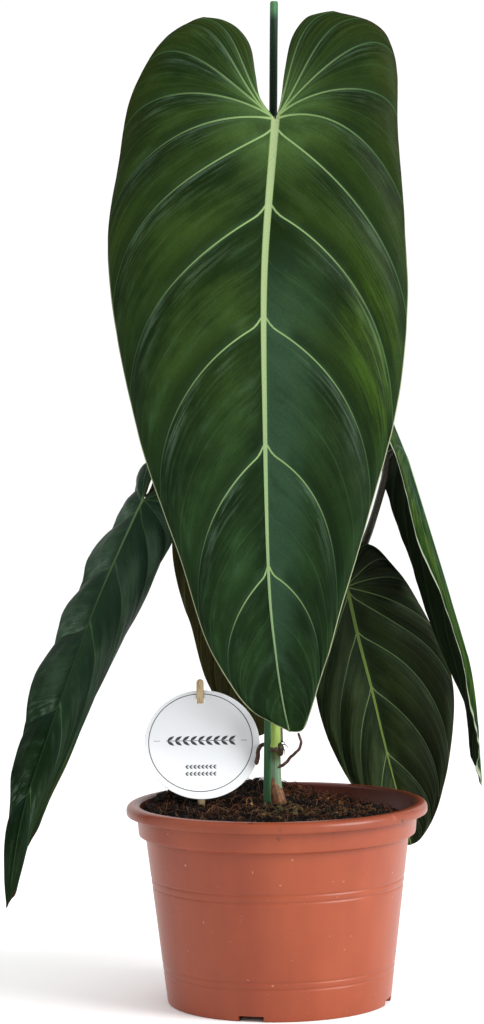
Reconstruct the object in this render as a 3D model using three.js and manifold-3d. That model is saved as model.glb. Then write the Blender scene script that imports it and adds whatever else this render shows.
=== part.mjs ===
/**
 * A young climbing philodendron in a plastic nursery pot, grown up beside a coated stake,
 * with a round tag on a wooden stick.
 *
 * Millimetres, +Z up. The origin is the middle of the flat pad under the pot, -Y is the
 * front. A blade is a grid that follows its side veins: phase counts the veins from the
 * base to the tip, and reach runs along each vein from the midrib to the edge.
 */
import * as THREE from 'three';
import { mergeVertices } from 'three/addons/utils/BufferGeometryUtils.js';
import Module from 'manifold-3d';

const wasm = await Module();
wasm.setup();

// Driving dimensions of the pot and the soil.
const POT_HEIGHT = 126.2;
const RIM_RADIUS = 95;
const BODY_TOP_RADIUS = 83.1;
const COLLAR_FOOT_Z = 105.4;
const COLLAR = [[86.9, 106.7], [87.4, 107.5], [88, 114], [88.4, 118.4], [94, 119.4]];
const INSIDE = { bend: 106, foot: 81.5, lip: 118.5, top: 86.2 };
const FOOT_RADIUS = 70.6;
const POT_WALL = 2.2;
const FOOT_RING_WIDTH = 5;
const FLOOR_UNDERSIDE = 4;
const FLOOR_THICKNESS = 2.5;
const PAD_RADIUS = 17;
const POT_SIDES = 60;
const NOTCH = { width: 16, height: 3.6, count: 4, first: -15 };
const DRAIN = { radius: 4.5, count: 6, circle: 42 };
const SOIL_GAP = 0.3;
const SOIL_LEVEL = 121.5;
const SOIL_SIDES = 44;
const SOIL_RINGS = 8;

// Clearance of what stands in a hole, or meets another piece.
const CLEARANCE = 0.3;

// The stake's axis, from its foot in the soil to its top.
const STAKE = { foot: [-7.9, 5, 30], top: [5.1, 5, 628.5], radius: 2.6 };

// The stem, with the heights of its nodes and the papery sheath at its foot.
const STEM_PATH = [[1, -3, 88], [0.8, -3, 112], [0.2, -3, 133], [-0.2, -3, 150], [-0.2, -3, 170],
  [0.4, -3, 205], [1.6, -3, 240], [2.8, -3, 266]];
const STEM_RADIUS = 3.1;
const STEM_NODES = [160, 179, 198, 218, 238];
const NODE_SWELL = 0.8;
const NODE_SPREAD = 2.4;
const SHEATH = { z: 127, swell: 1.2, spread: 8 };
const ROOTS = [
  {
    radius: [1.1, 0.8],
    path: [[0, -4.5, 148], [5, -6, 150.5], [9, -8, 155], [14.3, -10, 160.4], [15.6, -11, 165],
      [13.8, -12, 171]],
  },
  {
    radius: [1, 1.5],
    path: [[0.4, -1, 156.5], [1.4, 3.4, 157], [1, 8.4, 158.4], [-3, 11.2, 160.4], [-8, 10.8, 161],
      [-10.8, 8, 158.6], [-11.6, 5.6, 154.4], [-12.6, 3.4, 149]],
  },
];

// The round tag and the stick that goes through its slot.
const TAG = { radius: 36.7, thickness: 0.9, lean: 27, centre: [-46.9, 14, 161.2], slot: [-0.9, 29.3] };
const STICK = { width: 4.7, thickness: 1.2, lean: 11, above: 14.2, below: 118 };

// Blades. Outlines are in hundredths of the blade's length, out from the midrib and on
// towards the tip, with the sinus edge first and then the edge from the lobe to the tip.
const FRONT_LEFT = {
  sinus: [[0, 0], [2.6, -3.1], [3.6, -6.7], [4.7, -11.1], [6.7, -13.7], [9.3, -15], [12.4, -15.3]],
  margin: [[12.4, -15.3], [16.1, -13.7], [18.7, -11.4], [21, -7.5], [23.6, -0.8], [24.6, 9], [25.1, 19.4],
    [23.4, 35], [19.3, 52.3], [13.7, 70], [10.5, 82.6], [7.7, 89.6], [5.2, 94.4], [2.6, 96.8], [0, 99.2]],
  ends: [0, 0.8, 3, 9.6, 19, 31, 41, 53, 67, 82, 91, 96, 100],
  angles: [130, 126, 120, 122, 118, 92, 55, 53, 62, 51, 46, 45, 45],
};
const FRONT_RIGHT = {
  sinus: [[0, 0], [0.6, -3.1], [0.9, -8], [1.6, -13], [3.4, -16.1], [5.4, -17.1], [7.8, -17.6]],
  margin: [[7.8, -17.6], [11.4, -17.1], [14.5, -16.1], [16.8, -14], [18.7, -8.8], [19.4, 1.3], [21.7, 15.5],
    [23, 27.2], [22, 40.2], [18.8, 54.8], [13.9, 70.6], [9.3, 84.1], [6.2, 91.8], [3.7, 97.1], [2, 99.4],
    [0, 99.2]],
  ends: [0, 0.4, 4, 10, 17.5, 28.5, 44, 58, 69, 84, 92, 96.5, 100],
  angles: [165, 161, 147, 144, 140, 112, 57, 66, 61, 62, 60, 50, 40],
};
const FRONT_STARTS = [0, 0, 0, 0, 0, 0, 1.8, 15, 33.2, 53.4, 72.8, 86, 99.2];
const SLIM_HALF = {
  sinus: [[0, 0], [1.8, -3], [2.6, -7.5], [4, -12], [6.5, -14.8], [9.5, -15.8]],
  margin: [[9.5, -15.8], [14, -14], [17.6, -9], [19.8, -1], [20.6, 10], [20.4, 24], [18.4, 40], [13.8, 56],
    [8.8, 71], [5, 84], [2.4, 94], [0, 100]],
  ends: [0, 2, 9, 18, 33, 50, 70, 84, 92, 97, 100],
  angles: [156, 148, 132, 106, 66, 44, 48, 44, 38, 36, 34],
};
const BROAD_HALF = {
  sinus: [[0, 0], [1.8, -3], [2.6, -7], [4, -11], [6.4, -14], [9.5, -14.6]],
  margin: [[9.5, -14.6], [13.4, -11.2], [16.4, -6], [20.2, 2], [23.4, 12], [26.4, 24], [28.6, 38],
    [28.4, 50], [26.4, 60], [22.6, 71], [16.6, 83], [9.4, 94], [3.4, 99], [0, 100]],
  ends: [0, 2, 9, 18, 34, 52, 74, 86, 93, 97, 100],
  angles: [156, 148, 131, 103, 62, 42, 48, 42, 36, 34, 34],
};
const COMMON_STARTS = [0, 0, 0, 0, 0, 3, 19, 41, 66, 84, 100];

// Each blade hangs along a spine of points from its junction to its tip. The face is where
// its upper side looks, at the base and at the tip. Fold is the angle, in degrees, by which
// a half leans back from the midrib at the base and at the tip, left then right, and curl
// is how much further it turns in 100 mm. A petiole's path ends at its depth behind the
// junction, square to the blade's underside or so many degrees above that.
const LEAVES = [
  {
    name: 'front', starts: FRONT_STARTS, halves: [FRONT_LEFT, FRONT_RIGHT], width: [1.03, 1.03],
    spine: [[4.6, -26, 553], [-3.6, -46, 460], [-4.7, -55, 366], [-3.6, -50, 271], [0.2, -43, 223],
      [4.4, -38.5, 192], [8.6, -34, 171.5]],
    face: [[0, -1, 0.1], [0, -1, -0.1]], fold: [[-14, -8], [-14, -8]], curl: [42, 42], lobeLift: 6,
    quilt: 2.4, wave: 1.2, rib: 2.6, rowsPerVein: 3, columns: 10,
    petiole: {
      radius: [3, 2.8], depth: 0.95, rise: 0,
      path: [[2.8, -3, 266.4], [3.4, -3.6, 300], [3.4, -3.4, 380], [3.8, -3.4, 470], [4.2, -5, 522],
        [4.4, -9.5, 543]],
    },
  },
  {
    name: 'left', starts: COMMON_STARTS, halves: [SLIM_HALF, SLIM_HALF], width: [0.7, 1.17],
    spine: [[-81.5, 5, 318.2], [-105.8, 0, 265.9], [-120.7, -4, 229.8], [-140.5, -10, 177.4],
      [-159.3, -15, 122.5], [-170.4, -18, 63.8]],
    face: [[-0.11, -1, 0.6], [0.28, -1, 0.6]], fold: [[50, 33], [46, 49]], curl: [56, 109], lobeLift: -4,
    quilt: 2.6, wave: 2.4, rib: 2, rowsPerVein: 2, columns: 7,
    petiole: {
      radius: [2.8, 1.3], depth: 3.6, rise: 45,
      path: [[-5.7, -4.7, 201], [-13, 7, 240], [-20, 21, 290], [-29, 32, 338], [-41, 35, 366],
        [-54, 30, 369], [-64, 23, 354]],
    },
  },
  {
    name: 'right', starts: COMMON_STARTS, halves: [SLIM_HALF, SLIM_HALF], width: [0.92, 0.92],
    spine: [[83.4, 12, 346.5], [98, 12, 297], [111, 10, 252], [124.4, 8, 199], [129.4, 6, 133.5]],
    face: [[1, -0.08, 0.25], [1, -0.08, 0.15]], fold: [[6, 4], [21, 36]], curl: [10, 18], lobeLift: -3,
    quilt: 1.6, wave: 1.6, rib: 2, rowsPerVein: 2, columns: 7,
    petiole: {
      radius: [3.1, 2.2], depth: 1.7, rise: 0,
      path: [[1.4, 2.8, 184], [7, 13, 200], [11, 32, 220], [17, 50, 237], [32, 62, 249], [51, 63, 269],
        [61.5, 50, 291], [71, 28, 325]],
    },
  },
  {
    name: 'low_right', starts: COMMON_STARTS, halves: [BROAD_HALF, BROAD_HALF], width: [0.7, 0.98],
    spine: [[47.3, 46, 258], [55, 62, 222.4], [63.7, 76, 188], [74.3, 89, 142], [89.2, 93, 82.8]],
    face: [[0.1, -1, 0.35], [0.2, -1, 0.1]], fold: [[-10, -6], [-15, -16]], curl: [31, 24], lobeLift: -3,
    quilt: 2.2, wave: 1.6, rib: 2, rowsPerVein: 2, columns: 7,
    petiole: {
      radius: [2.5, 2.2], depth: 1, rise: 0,
      path: [[2, 2.2, 163.5], [1, 20, 203], [0, 40, 236], [10, 53, 256], [30, 59, 262]],
    },
  },
  {
    name: 'back', starts: COMMON_STARTS, halves: [BROAD_HALF, BROAD_HALF], width: [0.9, 0.84],
    spine: [[-20.5, 60, 333], [-25.5, 69, 289], [-14.5, 73, 244], [-15.4, 69, 200], [-10.6, 56, 161]],
    face: [[0, 1, 0.2], [0, 1, 0.1]], fold: [[4, 6], [-4, 1]], curl: [20, 8], lobeLift: -2,
    quilt: 2, wave: 1.6, rib: 2, rowsPerVein: 2, columns: 7,
    petiole: {
      radius: [2.8, 2.3], depth: 1.15, rise: 0,
      path: [[6.2, -0.2, 221], [8, 9, 245], [4, 24, 285], [-10, 38, 317]],
    },
  },
];
const BLADE_THICKNESS = 1;
const RIB_WIDTH = 5;
const VEIN_PULL = [0.38, 0.36];
const VEIN_LEAN = THREE.MathUtils.degToRad(12);
const PETIOLE_SIDES = 8;

const COLOURS = {
  pot: 0xb9623e, soil: 0x2b1d15, stake: 0x2f6b45, stem: 0x8fa84a, front: 0x1f3f24, left: 0x203d29,
  right: 0x2a4a2b, low_right: 0x1b2f1a, back: 0x352c14, petiole: 0x55562c, tag: 0xe9eef0, stick: 0xc9a878,
};

const vec = (p) => new THREE.Vector3(...p);
const smooth = (edge0, edge1, x) => THREE.MathUtils.smoothstep(x, edge0, edge1);
const curve3 = (points) => {
  const curve = new THREE.CatmullRomCurve3(points.map(vec), false, 'catmullrom', 0.5);
  curve.arcLengthDivisions = 400;
  return curve;
};
const curve2 = (points) => {
  const curve = new THREE.SplineCurve(points.map((p) => new THREE.Vector2(...p)));
  curve.arcLengthDivisions = 400;
  return curve;
};

/** Merges a geometry's vertices, drops its flat triangles and turns its faces outwards. */
function closed(source) {
  const bare = source.index ? source.toNonIndexed() : source.clone();
  bare.deleteAttribute('normal');
  bare.deleteAttribute('uv');
  const merged = mergeVertices(bare, 1e-4);
  const position = merged.getAttribute('position');
  const index = [];
  let volume = 0;
  const [a, b, c] = [new THREE.Vector3(), new THREE.Vector3(), new THREE.Vector3()];
  for (let i = 0; i < merged.index.count; i += 3) {
    const face = [0, 1, 2].map((k) => merged.index.getX(i + k));
    if (new Set(face).size < 3) continue;
    index.push(...face);
    [a, b, c].forEach((corner, k) => corner.fromBufferAttribute(position, face[k]));
    volume += a.dot(b.cross(c)) / 6;
  }
  merged.setIndex(volume < 0 ? index.reverse() : index);
  return merged;
}

function toManifold(geometry) {
  const mesh = closed(geometry);
  return new wasm.Manifold(new wasm.Mesh({
    numProp: 3,
    vertProperties: new Float32Array(mesh.getAttribute('position').array),
    triVerts: new Uint32Array(mesh.index.array),
  }));
}

function fromManifold(manifold) {
  const mesh = manifold.getMesh();
  const geometry = new THREE.BufferGeometry();
  geometry.setAttribute('position', new THREE.BufferAttribute(new Float32Array(mesh.vertProperties), 3));
  geometry.setIndex(new THREE.BufferAttribute(new Uint32Array(mesh.triVerts), 1));
  return closed(geometry);
}

/** A solid turned about Z from a closed profile of [radius, height]. */
function turned(profile, sides) {
  const geometry = new THREE.LatheGeometry(profile.map((p) => new THREE.Vector2(...p)), sides);
  return geometry.rotateX(Math.PI / 2);
}

/** A round bar between two points. */
function bar(from, to, radius, sides) {
  const [start, end] = [vec(from), vec(to)];
  const run = end.clone().sub(start);
  const geometry = new THREE.CylinderGeometry(radius, radius, run.length(), sides);
  const turn = new THREE.Quaternion().setFromUnitVectors(new THREE.Vector3(0, 1, 0), run.normalize());
  geometry.applyQuaternion(turn);
  return geometry.translate(...start.add(end).multiplyScalar(0.5).toArray());
}

/** A closed round tube along a path, whose radius is a function of the share of its length. */
function tube(path, radiusAt, steps, sides) {
  const curve = curve3(path);
  const frames = curve.computeFrenetFrames(steps, false);
  const points = [];
  for (let i = 0; i <= steps; i++) {
    const centre = curve.getPointAt(i / steps);
    for (let k = 0; k < sides; k++) {
      const angle = (2 * Math.PI * k) / sides;
      points.push(centre.clone()
        .addScaledVector(frames.normals[i], radiusAt(i / steps) * Math.cos(angle))
        .addScaledVector(frames.binormals[i], radiusAt(i / steps) * Math.sin(angle)));
    }
  }
  points.push(curve.getPointAt(0), curve.getPointAt(1));
  const foot = points.length - 2;
  const index = [];
  for (let k = 0; k < sides; k++) {
    const next = (k + 1) % sides;
    for (let i = 0; i < steps; i++) {
      const [a, b] = [i * sides + k, i * sides + next];
      index.push(a, b, b + sides, a, b + sides, a + sides);
    }
    index.push(foot, next, k);
    index.push(foot + 1, steps * sides + k, steps * sides + next);
  }
  const geometry = new THREE.BufferGeometry().setFromPoints(points);
  geometry.setIndex(index);
  return geometry;
}

/** The inner wall's radius at a height. */
function potInside(z) {
  const inner = (z - FLOOR_UNDERSIDE) / (INSIDE.bend - FLOOR_UNDERSIDE);
  const body = THREE.MathUtils.lerp(FOOT_RADIUS, BODY_TOP_RADIUS, Math.min(inner, 1)) - POT_WALL;
  const collar = (z - INSIDE.bend) / (INSIDE.lip - INSIDE.bend);
  if (collar <= 0) return body;
  return THREE.MathUtils.lerp(INSIDE.foot, INSIDE.top, Math.min(collar, 1));
}

/** The pot, turned, with its foot notches and drain holes cut. */
function potGeometry() {
  const floor = FLOOR_UNDERSIDE + FLOOR_THICKNESS;
  const ring = FOOT_RADIUS - FOOT_RING_WIDTH;
  const profile = [
    [0, 0], [PAD_RADIUS, 0], [PAD_RADIUS + 1.5, FLOOR_UNDERSIDE], [ring - 1.5, FLOOR_UNDERSIDE], [ring, 0],
    [FOOT_RADIUS, 0], [BODY_TOP_RADIUS, COLLAR_FOOT_Z], ...COLLAR, [RIM_RADIUS - 0.3, POT_HEIGHT - 6.4],
    [RIM_RADIUS, POT_HEIGHT - 4.8], [RIM_RADIUS, POT_HEIGHT - 3.6], [RIM_RADIUS - 1.1, POT_HEIGHT - 1],
    [RIM_RADIUS - 3.2, POT_HEIGHT], [RIM_RADIUS - 6.4, POT_HEIGHT], [INSIDE.top + 0.4, POT_HEIGHT - 1.4],
    [INSIDE.top, INSIDE.lip], [potInside(INSIDE.bend + 0.1), INSIDE.bend + 0.1],
    [potInside(INSIDE.bend - 1), INSIDE.bend - 1], [potInside(floor), floor], [0, floor],
  ];
  let pot = toManifold(turned(profile, POT_SIDES));
  for (let i = 0; i < NOTCH.count; i++) {
    const notch = new THREE.BoxGeometry(NOTCH.width, 4 * FOOT_RING_WIDTH, 2 * NOTCH.height);
    notch.translate(0, -(FOOT_RADIUS - FOOT_RING_WIDTH / 2), 0);
    notch.rotateZ(THREE.MathUtils.degToRad(NOTCH.first + (360 * i) / NOTCH.count));
    pot = pot.subtract(toManifold(notch));
  }
  for (let i = 0; i < DRAIN.count; i++) {
    const angle = (2 * Math.PI * i) / DRAIN.count;
    const [x, y] = [DRAIN.circle * Math.cos(angle), DRAIN.circle * Math.sin(angle)];
    pot = pot.subtract(toManifold(bar([x, y, 0], [x, y, 2 * floor], DRAIN.radius, 12)));
  }
  return fromManifold(pot);
}

/** Height of the soil, heaped at the left and the back, and low at the stick and the right. */
function soilHeight(x, y) {
  const mound = 2.2 * Math.exp(-(x * x + y * y) / 2400);
  const left = 3.2 * Math.exp(-((x + 66) ** 2 + (y - 34) ** 2) / 700);
  const back = 5 * Math.exp(-((x + 12) ** 2) / 1800 - (y - 66) ** 2 / 700);
  const hollow = 3.5 * Math.exp(-((x + 47) ** 2 + (y - 6) ** 2) / 260);
  const dip = 6.5 * smooth(12, 80, 0.88 * x + 0.47 * y);
  const rows = Math.sin(0.19 * x + 1.3 * Math.sin(0.11 * y));
  const lumps = 0.8 * rows * Math.cos(0.23 * y + Math.sin(0.13 * x));
  return SOIL_LEVEL + mound + left + back - hollow - dip + lumps;
}

/** The soil without its holes, down to the pot's floor. */
function soilGeometry() {
  const points = [];
  const floor = FLOOR_UNDERSIDE + FLOOR_THICKNESS + SOIL_GAP;
  const wall = (z) => potInside(z) - SOIL_GAP - 0.35;
  const rings = [];
  for (let i = 1; i <= SOIL_RINGS; i++) rings.push(i / SOIL_RINGS);
  const direction = (k) => {
    const angle = (2 * Math.PI * k) / SOIL_SIDES;
    return [Math.cos(angle), Math.sin(angle)];
  };
  points.push([0, 0, soilHeight(0, 0)]);
  for (const share of rings) {
    for (let k = 0; k < SOIL_SIDES; k++) {
      const [c, s] = direction(k);
      const r = share * wall(SOIL_LEVEL - 8);
      points.push([r * c, r * s, soilHeight(r * c, r * s)]);
    }
  }
  for (const z of [INSIDE.bend - 1.5, floor]) {
    for (let k = 0; k < SOIL_SIDES; k++) {
      const [c, s] = direction(k);
      points.push([wall(z) * c, wall(z) * s, z]);
    }
  }
  points.push([0, 0, floor]);
  const index = [];
  const bands = SOIL_RINGS + 2;
  for (let k = 0; k < SOIL_SIDES; k++) {
    const next = (k + 1) % SOIL_SIDES;
    index.push(0, 1 + k, 1 + next);
    for (let i = 0; i < bands - 1; i++) {
      const [a, b] = [1 + i * SOIL_SIDES + k, 1 + i * SOIL_SIDES + next];
      index.push(a, a + SOIL_SIDES, b + SOIL_SIDES, a, b + SOIL_SIDES, b);
    }
    index.push(points.length - 1, 1 + (bands - 1) * SOIL_SIDES + next, 1 + (bands - 1) * SOIL_SIDES + k);
  }
  const geometry = new THREE.BufferGeometry().setFromPoints(points.map(vec));
  geometry.setIndex(index);
  return geometry;
}

/** The stem's radius at a height, swollen at its nodes and in the sheath. */
function stemRadius(z) {
  const swell = STEM_NODES.map((node) => NODE_SWELL * Math.exp(-(((z - node) / NODE_SPREAD) ** 2)));
  const sheath = SHEATH.swell * Math.exp(-(((z - SHEATH.z) / SHEATH.spread) ** 2));
  return STEM_RADIUS + Math.max(...swell) + sheath;
}

/** The stem and the aerial roots that grow from it. */
function stemGeometry() {
  const curve = curve3(STEM_PATH);
  const radiusAt = (share) => stemRadius(curve.getPointAt(share).z);
  let stem = toManifold(tube(STEM_PATH, radiusAt, 60, 10));
  for (const root of ROOTS) {
    const taper = (share) => THREE.MathUtils.lerp(...root.radius, share);
    stem = stem.add(toManifold(tube(root.path, taper, 14, 6)));
  }
  return fromManifold(stem);
}

/** A frame on the tag: across, up its face, and out of its face. */
function leaning(degrees) {
  const angle = THREE.MathUtils.degToRad(degrees);
  return {
    up: new THREE.Vector3(0, Math.sin(angle), Math.cos(angle)),
    out: new THREE.Vector3(0, -Math.cos(angle), Math.sin(angle)),
    tilt: -angle,
  };
}

/** The middle of the slot in the tag. */
function slotCentre() {
  const [across, up] = TAG.slot;
  const centre = vec(TAG.centre).addScaledVector(leaning(TAG.lean).up, up);
  return centre.add(new THREE.Vector3(across, 0, 0));
}

/** The stick's outline with a round top, swept through a thickness, with play all round. */
function stickGeometry(play, above, below) {
  const half = STICK.width / 2 + play;
  const shape = new THREE.Shape();
  shape.moveTo(-half, -below);
  shape.lineTo(half, -below);
  shape.lineTo(half, above - half);
  shape.absarc(0, above - half, half, 0, Math.PI, false);
  const depth = STICK.thickness + 2 * play;
  const geometry = new THREE.ExtrudeGeometry(shape, { depth, bevelEnabled: false, curveSegments: 8 });
  geometry.translate(0, 0, -depth / 2);
  geometry.rotateX(Math.PI / 2 + leaning(STICK.lean).tilt);
  return geometry.translate(...slotCentre().toArray());
}

/** The round tag with the slot for its stick. */
function tagGeometry() {
  const disc = new THREE.CylinderGeometry(TAG.radius, TAG.radius, TAG.thickness, 48);
  disc.rotateX(leaning(TAG.lean).tilt);
  disc.translate(...TAG.centre);
  const slot = toManifold(stickGeometry(CLEARANCE, STICK.above, STICK.below));
  return fromManifold(toManifold(disc).subtract(slot));
}

/** One half of a blade, laid flat: places on it by phase and reach. */
class Half {
  constructor(outline, starts) {
    this.sinus = curve2(outline.sinus);
    this.margin = curve2(outline.margin);
    const veins = starts.map((start, k) => [start, outline.ends[k] / 100, outline.angles[k]]);
    this.veins = new THREE.CatmullRomCurve3(veins.map(vec), false, 'catmullrom', 0.5);
    this.last = starts.length - 1;
  }

  /** Where a vein starts on the midrib and ends on the edge, and the way it leaves. */
  vein(phase) {
    const row = this.veins.getPoint(phase / this.last);
    return { start: Math.max(row.x, 0), end: THREE.MathUtils.clamp(row.y, 0, 1), angle: row.z };
  }

  /** The flat point, out from the midrib and on towards the tip, in hundredths. */
  at(phase, reach) {
    const { start, end, angle } = this.vein(phase);
    const from = new THREE.Vector2(0, start);
    const to = this.margin.getPointAt(end);
    const span = to.distanceTo(from);
    const run = this.margin.getTangentAt(end);
    run.rotateAround(new THREE.Vector2(), -VEIN_LEAN);
    const heading = THREE.MathUtils.degToRad(angle);
    const leave = new THREE.Vector2(Math.sin(heading), Math.cos(heading));
    const curve = new THREE.CubicBezierCurve(
      from,
      from.clone().addScaledVector(leave, VEIN_PULL[0] * span),
      to.clone().addScaledVector(run, -VEIN_PULL[1] * span),
      to,
    );
    const point = curve.getPoint(reach);
    if (phase >= 1) return point;
    return this.sinus.getPointAt(reach).lerp(point, smooth(0, 1, phase));
  }
}

/** A hanging blade: its spine, its two halves, and the surface that they make. */
class Blade {
  constructor(leaf) {
    this.leaf = leaf;
    this.spine = curve3(leaf.spine);
    this.length = this.spine.getLength();
    this.halves = leaf.halves.map((outline) => new Half(outline, leaf.starts));
    this.last = leaf.starts.length - 1;
    this.face = leaf.face.map((f) => vec(f).normalize());
    this.widest = Math.max(...this.halves.map((half) => this.gap(half, this.last - 4)));
  }

  /** How far apart two neighbouring veins run, in hundredths. */
  gap(half, vein) {
    return half.at(vein, 0.6).distanceTo(half.at(Math.min(vein + 1, this.last), 0.6));
  }

  /** The spine's place and directions at a distance from the junction. */
  frame(v) {
    const share = THREE.MathUtils.clamp(v / this.length, 0, 1);
    const place = this.spine.getPointAt(share);
    const along = this.spine.getTangentAt(share);
    const face = this.face[0].clone().lerp(this.face[1], share);
    face.addScaledVector(along, -face.dot(along)).normalize();
    const across = new THREE.Vector3().crossVectors(face, along);
    if (v < 0) {
      place.addScaledVector(along, v);
      place.addScaledVector(face, this.leaf.lobeLift * (v / (0.16 * this.length)) ** 2);
    }
    return { place, along, face, across, share };
  }

  /** The middle surface and its normal on one side, -1 left and 1 right. */
  surface(side, phase, reach) {
    const { leaf, last } = this;
    const half = this.halves[side < 0 ? 0 : 1];
    const flat = half.at(phase, reach).multiplyScalar(this.length / 100);
    const { place, face, across, share } = this.frame(flat.y);
    const u = flat.x * leaf.width[side < 0 ? 0 : 1];
    const [base, tip] = leaf.fold[side < 0 ? 0 : 1];
    const fold = THREE.MathUtils.degToRad(THREE.MathUtils.lerp(base, tip, share));
    const curl = THREE.MathUtils.degToRad(leaf.curl[side < 0 ? 0 : 1]) / 100;
    const turn = fold + curl * u;
    const normal = face.clone().multiplyScalar(Math.cos(turn));
    normal.addScaledVector(across, side * Math.sin(turn));
    place.addScaledVector(across, (side * (Math.sin(turn) - Math.sin(fold))) / curl);
    place.addScaledVector(face, (Math.cos(turn) - Math.cos(fold)) / curl);
    const vein = Math.min(Math.floor(phase), last - 1);
    const bulge = Math.sin(Math.PI * (phase - vein)) ** 2 * Math.min(1, this.gap(half, vein) / this.widest);
    const window = smooth(0, 0.35, reach) * (1 - smooth(0.78, 1, reach));
    const ripple = Math.sin(Math.PI * (0.9 * phase + side * 0.35)) * reach ** 3 * smooth(0, 2, phase);
    const ease = 1 - smooth(last - 1.5, last, phase);
    place.addScaledVector(normal, (leaf.quilt * bulge * window + leaf.wave * ripple) * ease);
    if (reach === 0) normal.copy(face);
    return { place, normal, u, share };
  }

  /** The whole blade as a closed solid. */
  geometry() {
    const { leaf, last } = this;
    const rows = leaf.rowsPerVein * last;
    const columns = leaf.columns;
    const cells = new Map();
    const sheet = [];
    const spot = (side, i, j) => {
      if (j === 0 && this.halves[0].vein(i / leaf.rowsPerVein).start < 1e-3) return 'base';
      if (i === rows) return 'tip';
      return j === 0 ? `rib ${i}` : `${side} ${i} ${j}`;
    };
    const cell = (side, i, j) => {
      const key = spot(side, i, j);
      if (!cells.has(key)) {
        const [phase, reach] = key === 'base' ? [0, 0] : [i / leaf.rowsPerVein, j / columns];
        cells.set(key, sheet.length);
        sheet.push(this.surface(side, phase, reach));
      }
      return cells.get(key);
    };
    const faces = [];
    const face = (side, a, b, c) => {
      if (a === b || b === c || c === a) return;
      faces.push(side > 0 ? [a, b, c] : [a, c, b]);
    };
    for (const side of [-1, 1]) {
      for (let i = 0; i < rows; i++) {
        for (let j = 0; j < columns; j++) {
          const [a, b] = [cell(side, i, j), cell(side, i + 1, j)];
          const [c, d] = [cell(side, i + 1, j + 1), cell(side, i, j + 1)];
          face(side, a, b, c);
          face(side, a, c, d);
        }
      }
    }
    return this.thicken(sheet, faces);
  }

  /** Gives the sheet its thickness and the rib on its underside, and closes its edge. */
  thicken(sheet, faces) {
    const points = [];
    for (const { place, normal, u, share } of sheet) {
      const taper = Math.min(1, 0.25 + 1.2 * (1 - share)) * smooth(0, 0.05, share);
      const rib = this.leaf.rib * Math.exp(-((u / RIB_WIDTH) ** 2)) * taper;
      points.push(place.clone().addScaledVector(normal, BLADE_THICKNESS / 2));
      points.push(place.clone().addScaledVector(normal, -BLADE_THICKNESS / 2 - rib));
    }
    const edges = new Set();
    const index = [];
    for (const [a, b, c] of faces) {
      index.push(2 * a, 2 * b, 2 * c, 2 * a + 1, 2 * c + 1, 2 * b + 1);
      for (const [from, to] of [[a, b], [b, c], [c, a]]) edges.add(`${from} ${to}`);
    }
    for (const edge of edges) {
      const [from, to] = edge.split(' ').map(Number);
      if (edges.has(`${to} ${from}`)) continue;
      index.push(2 * from, 2 * from + 1, 2 * to + 1, 2 * from, 2 * to + 1, 2 * to);
    }
    const geometry = new THREE.BufferGeometry().setFromPoints(points);
    geometry.setIndex(index);
    return geometry;
  }
}

/** The stalk of a blade, from the stem to the back of the blade's junction. */
function petioleGeometry(blade) {
  const { radius, path, depth, rise } = blade.leaf.petiole;
  const { place, face, along } = blade.frame(0);
  const angle = THREE.MathUtils.degToRad(rise);
  const back = face.clone().multiplyScalar(-Math.cos(angle)).addScaledVector(along, -Math.sin(angle));
  const behind = (d) => place.clone().addScaledVector(back, d).toArray();
  const route = [...path, behind(depth + 8), behind(depth)];
  return tube(route, (share) => THREE.MathUtils.lerp(...radius, share), 18, PETIOLE_SIDES);
}

const group = new THREE.Group();

function addPiece(name, geometry, colour, roughness = 0.6) {
  const material = new THREE.MeshStandardMaterial({ color: colour, roughness, metalness: 0 });
  const mesh = new THREE.Mesh(closed(geometry), material);
  mesh.name = name;
  group.add(mesh);
  return mesh;
}

/** The soil with a plain hole for everything that stands in it. */
function pottedSoil() {
  let soil = toManifold(soilGeometry());
  const stake = vec(STAKE.top).sub(vec(STAKE.foot)).normalize();
  const foot = vec(STAKE.foot).addScaledVector(stake, -CLEARANCE);
  soil = soil.subtract(toManifold(bar(foot.toArray(), STAKE.top, STAKE.radius + CLEARANCE, 12)));
  const stem = curve3(STEM_PATH);
  const socket = (share) => stemRadius(stem.getPointAt(share).z) + CLEARANCE;
  const below = [STEM_PATH[0][0], STEM_PATH[0][1], STEM_PATH[0][2] - CLEARANCE];
  soil = soil.subtract(toManifold(tube([below, ...STEM_PATH.slice(1)], socket, 60, 10)));
  soil = soil.subtract(toManifold(stickGeometry(CLEARANCE, STICK.above, STICK.below + CLEARANCE)));
  return fromManifold(soil);
}

addPiece('pot', potGeometry(), COLOURS.pot, 0.5);
addPiece('soil', pottedSoil(), COLOURS.soil, 0.95);
addPiece('stake', bar(STAKE.foot, STAKE.top, STAKE.radius, 12), COLOURS.stake, 0.4);
addPiece('stem', stemGeometry(), COLOURS.stem);
addPiece('tag', tagGeometry(), COLOURS.tag, 0.5);
addPiece('tag_stick', stickGeometry(0, STICK.above, STICK.below), COLOURS.stick, 0.8);
for (const leaf of LEAVES) {
  const blade = new Blade(leaf);
  addPiece(`petiole_${leaf.name}`, petioleGeometry(blade), COLOURS.petiole);
  addPiece(`leaf_${leaf.name}`, blade.geometry(), COLOURS[leaf.name], 0.55);
}

export default group;
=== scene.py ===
"""Looks of a potted climbing philodendron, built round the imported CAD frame.

Sizes are in millimetres in the classes and become metres when a mesh is made. The blades
repeat the source's form: phase counts the side veins from the base to the tip, and reach
runs along each vein from the midrib to the edge.
"""

import logging
import math
from dataclasses import dataclass, field, replace
from enum import Enum, IntEnum
from typing import Any, Callable, Mapping, Sequence, Union

import bmesh
import bpy
import numpy as np
from mathutils import Matrix, Vector

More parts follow.
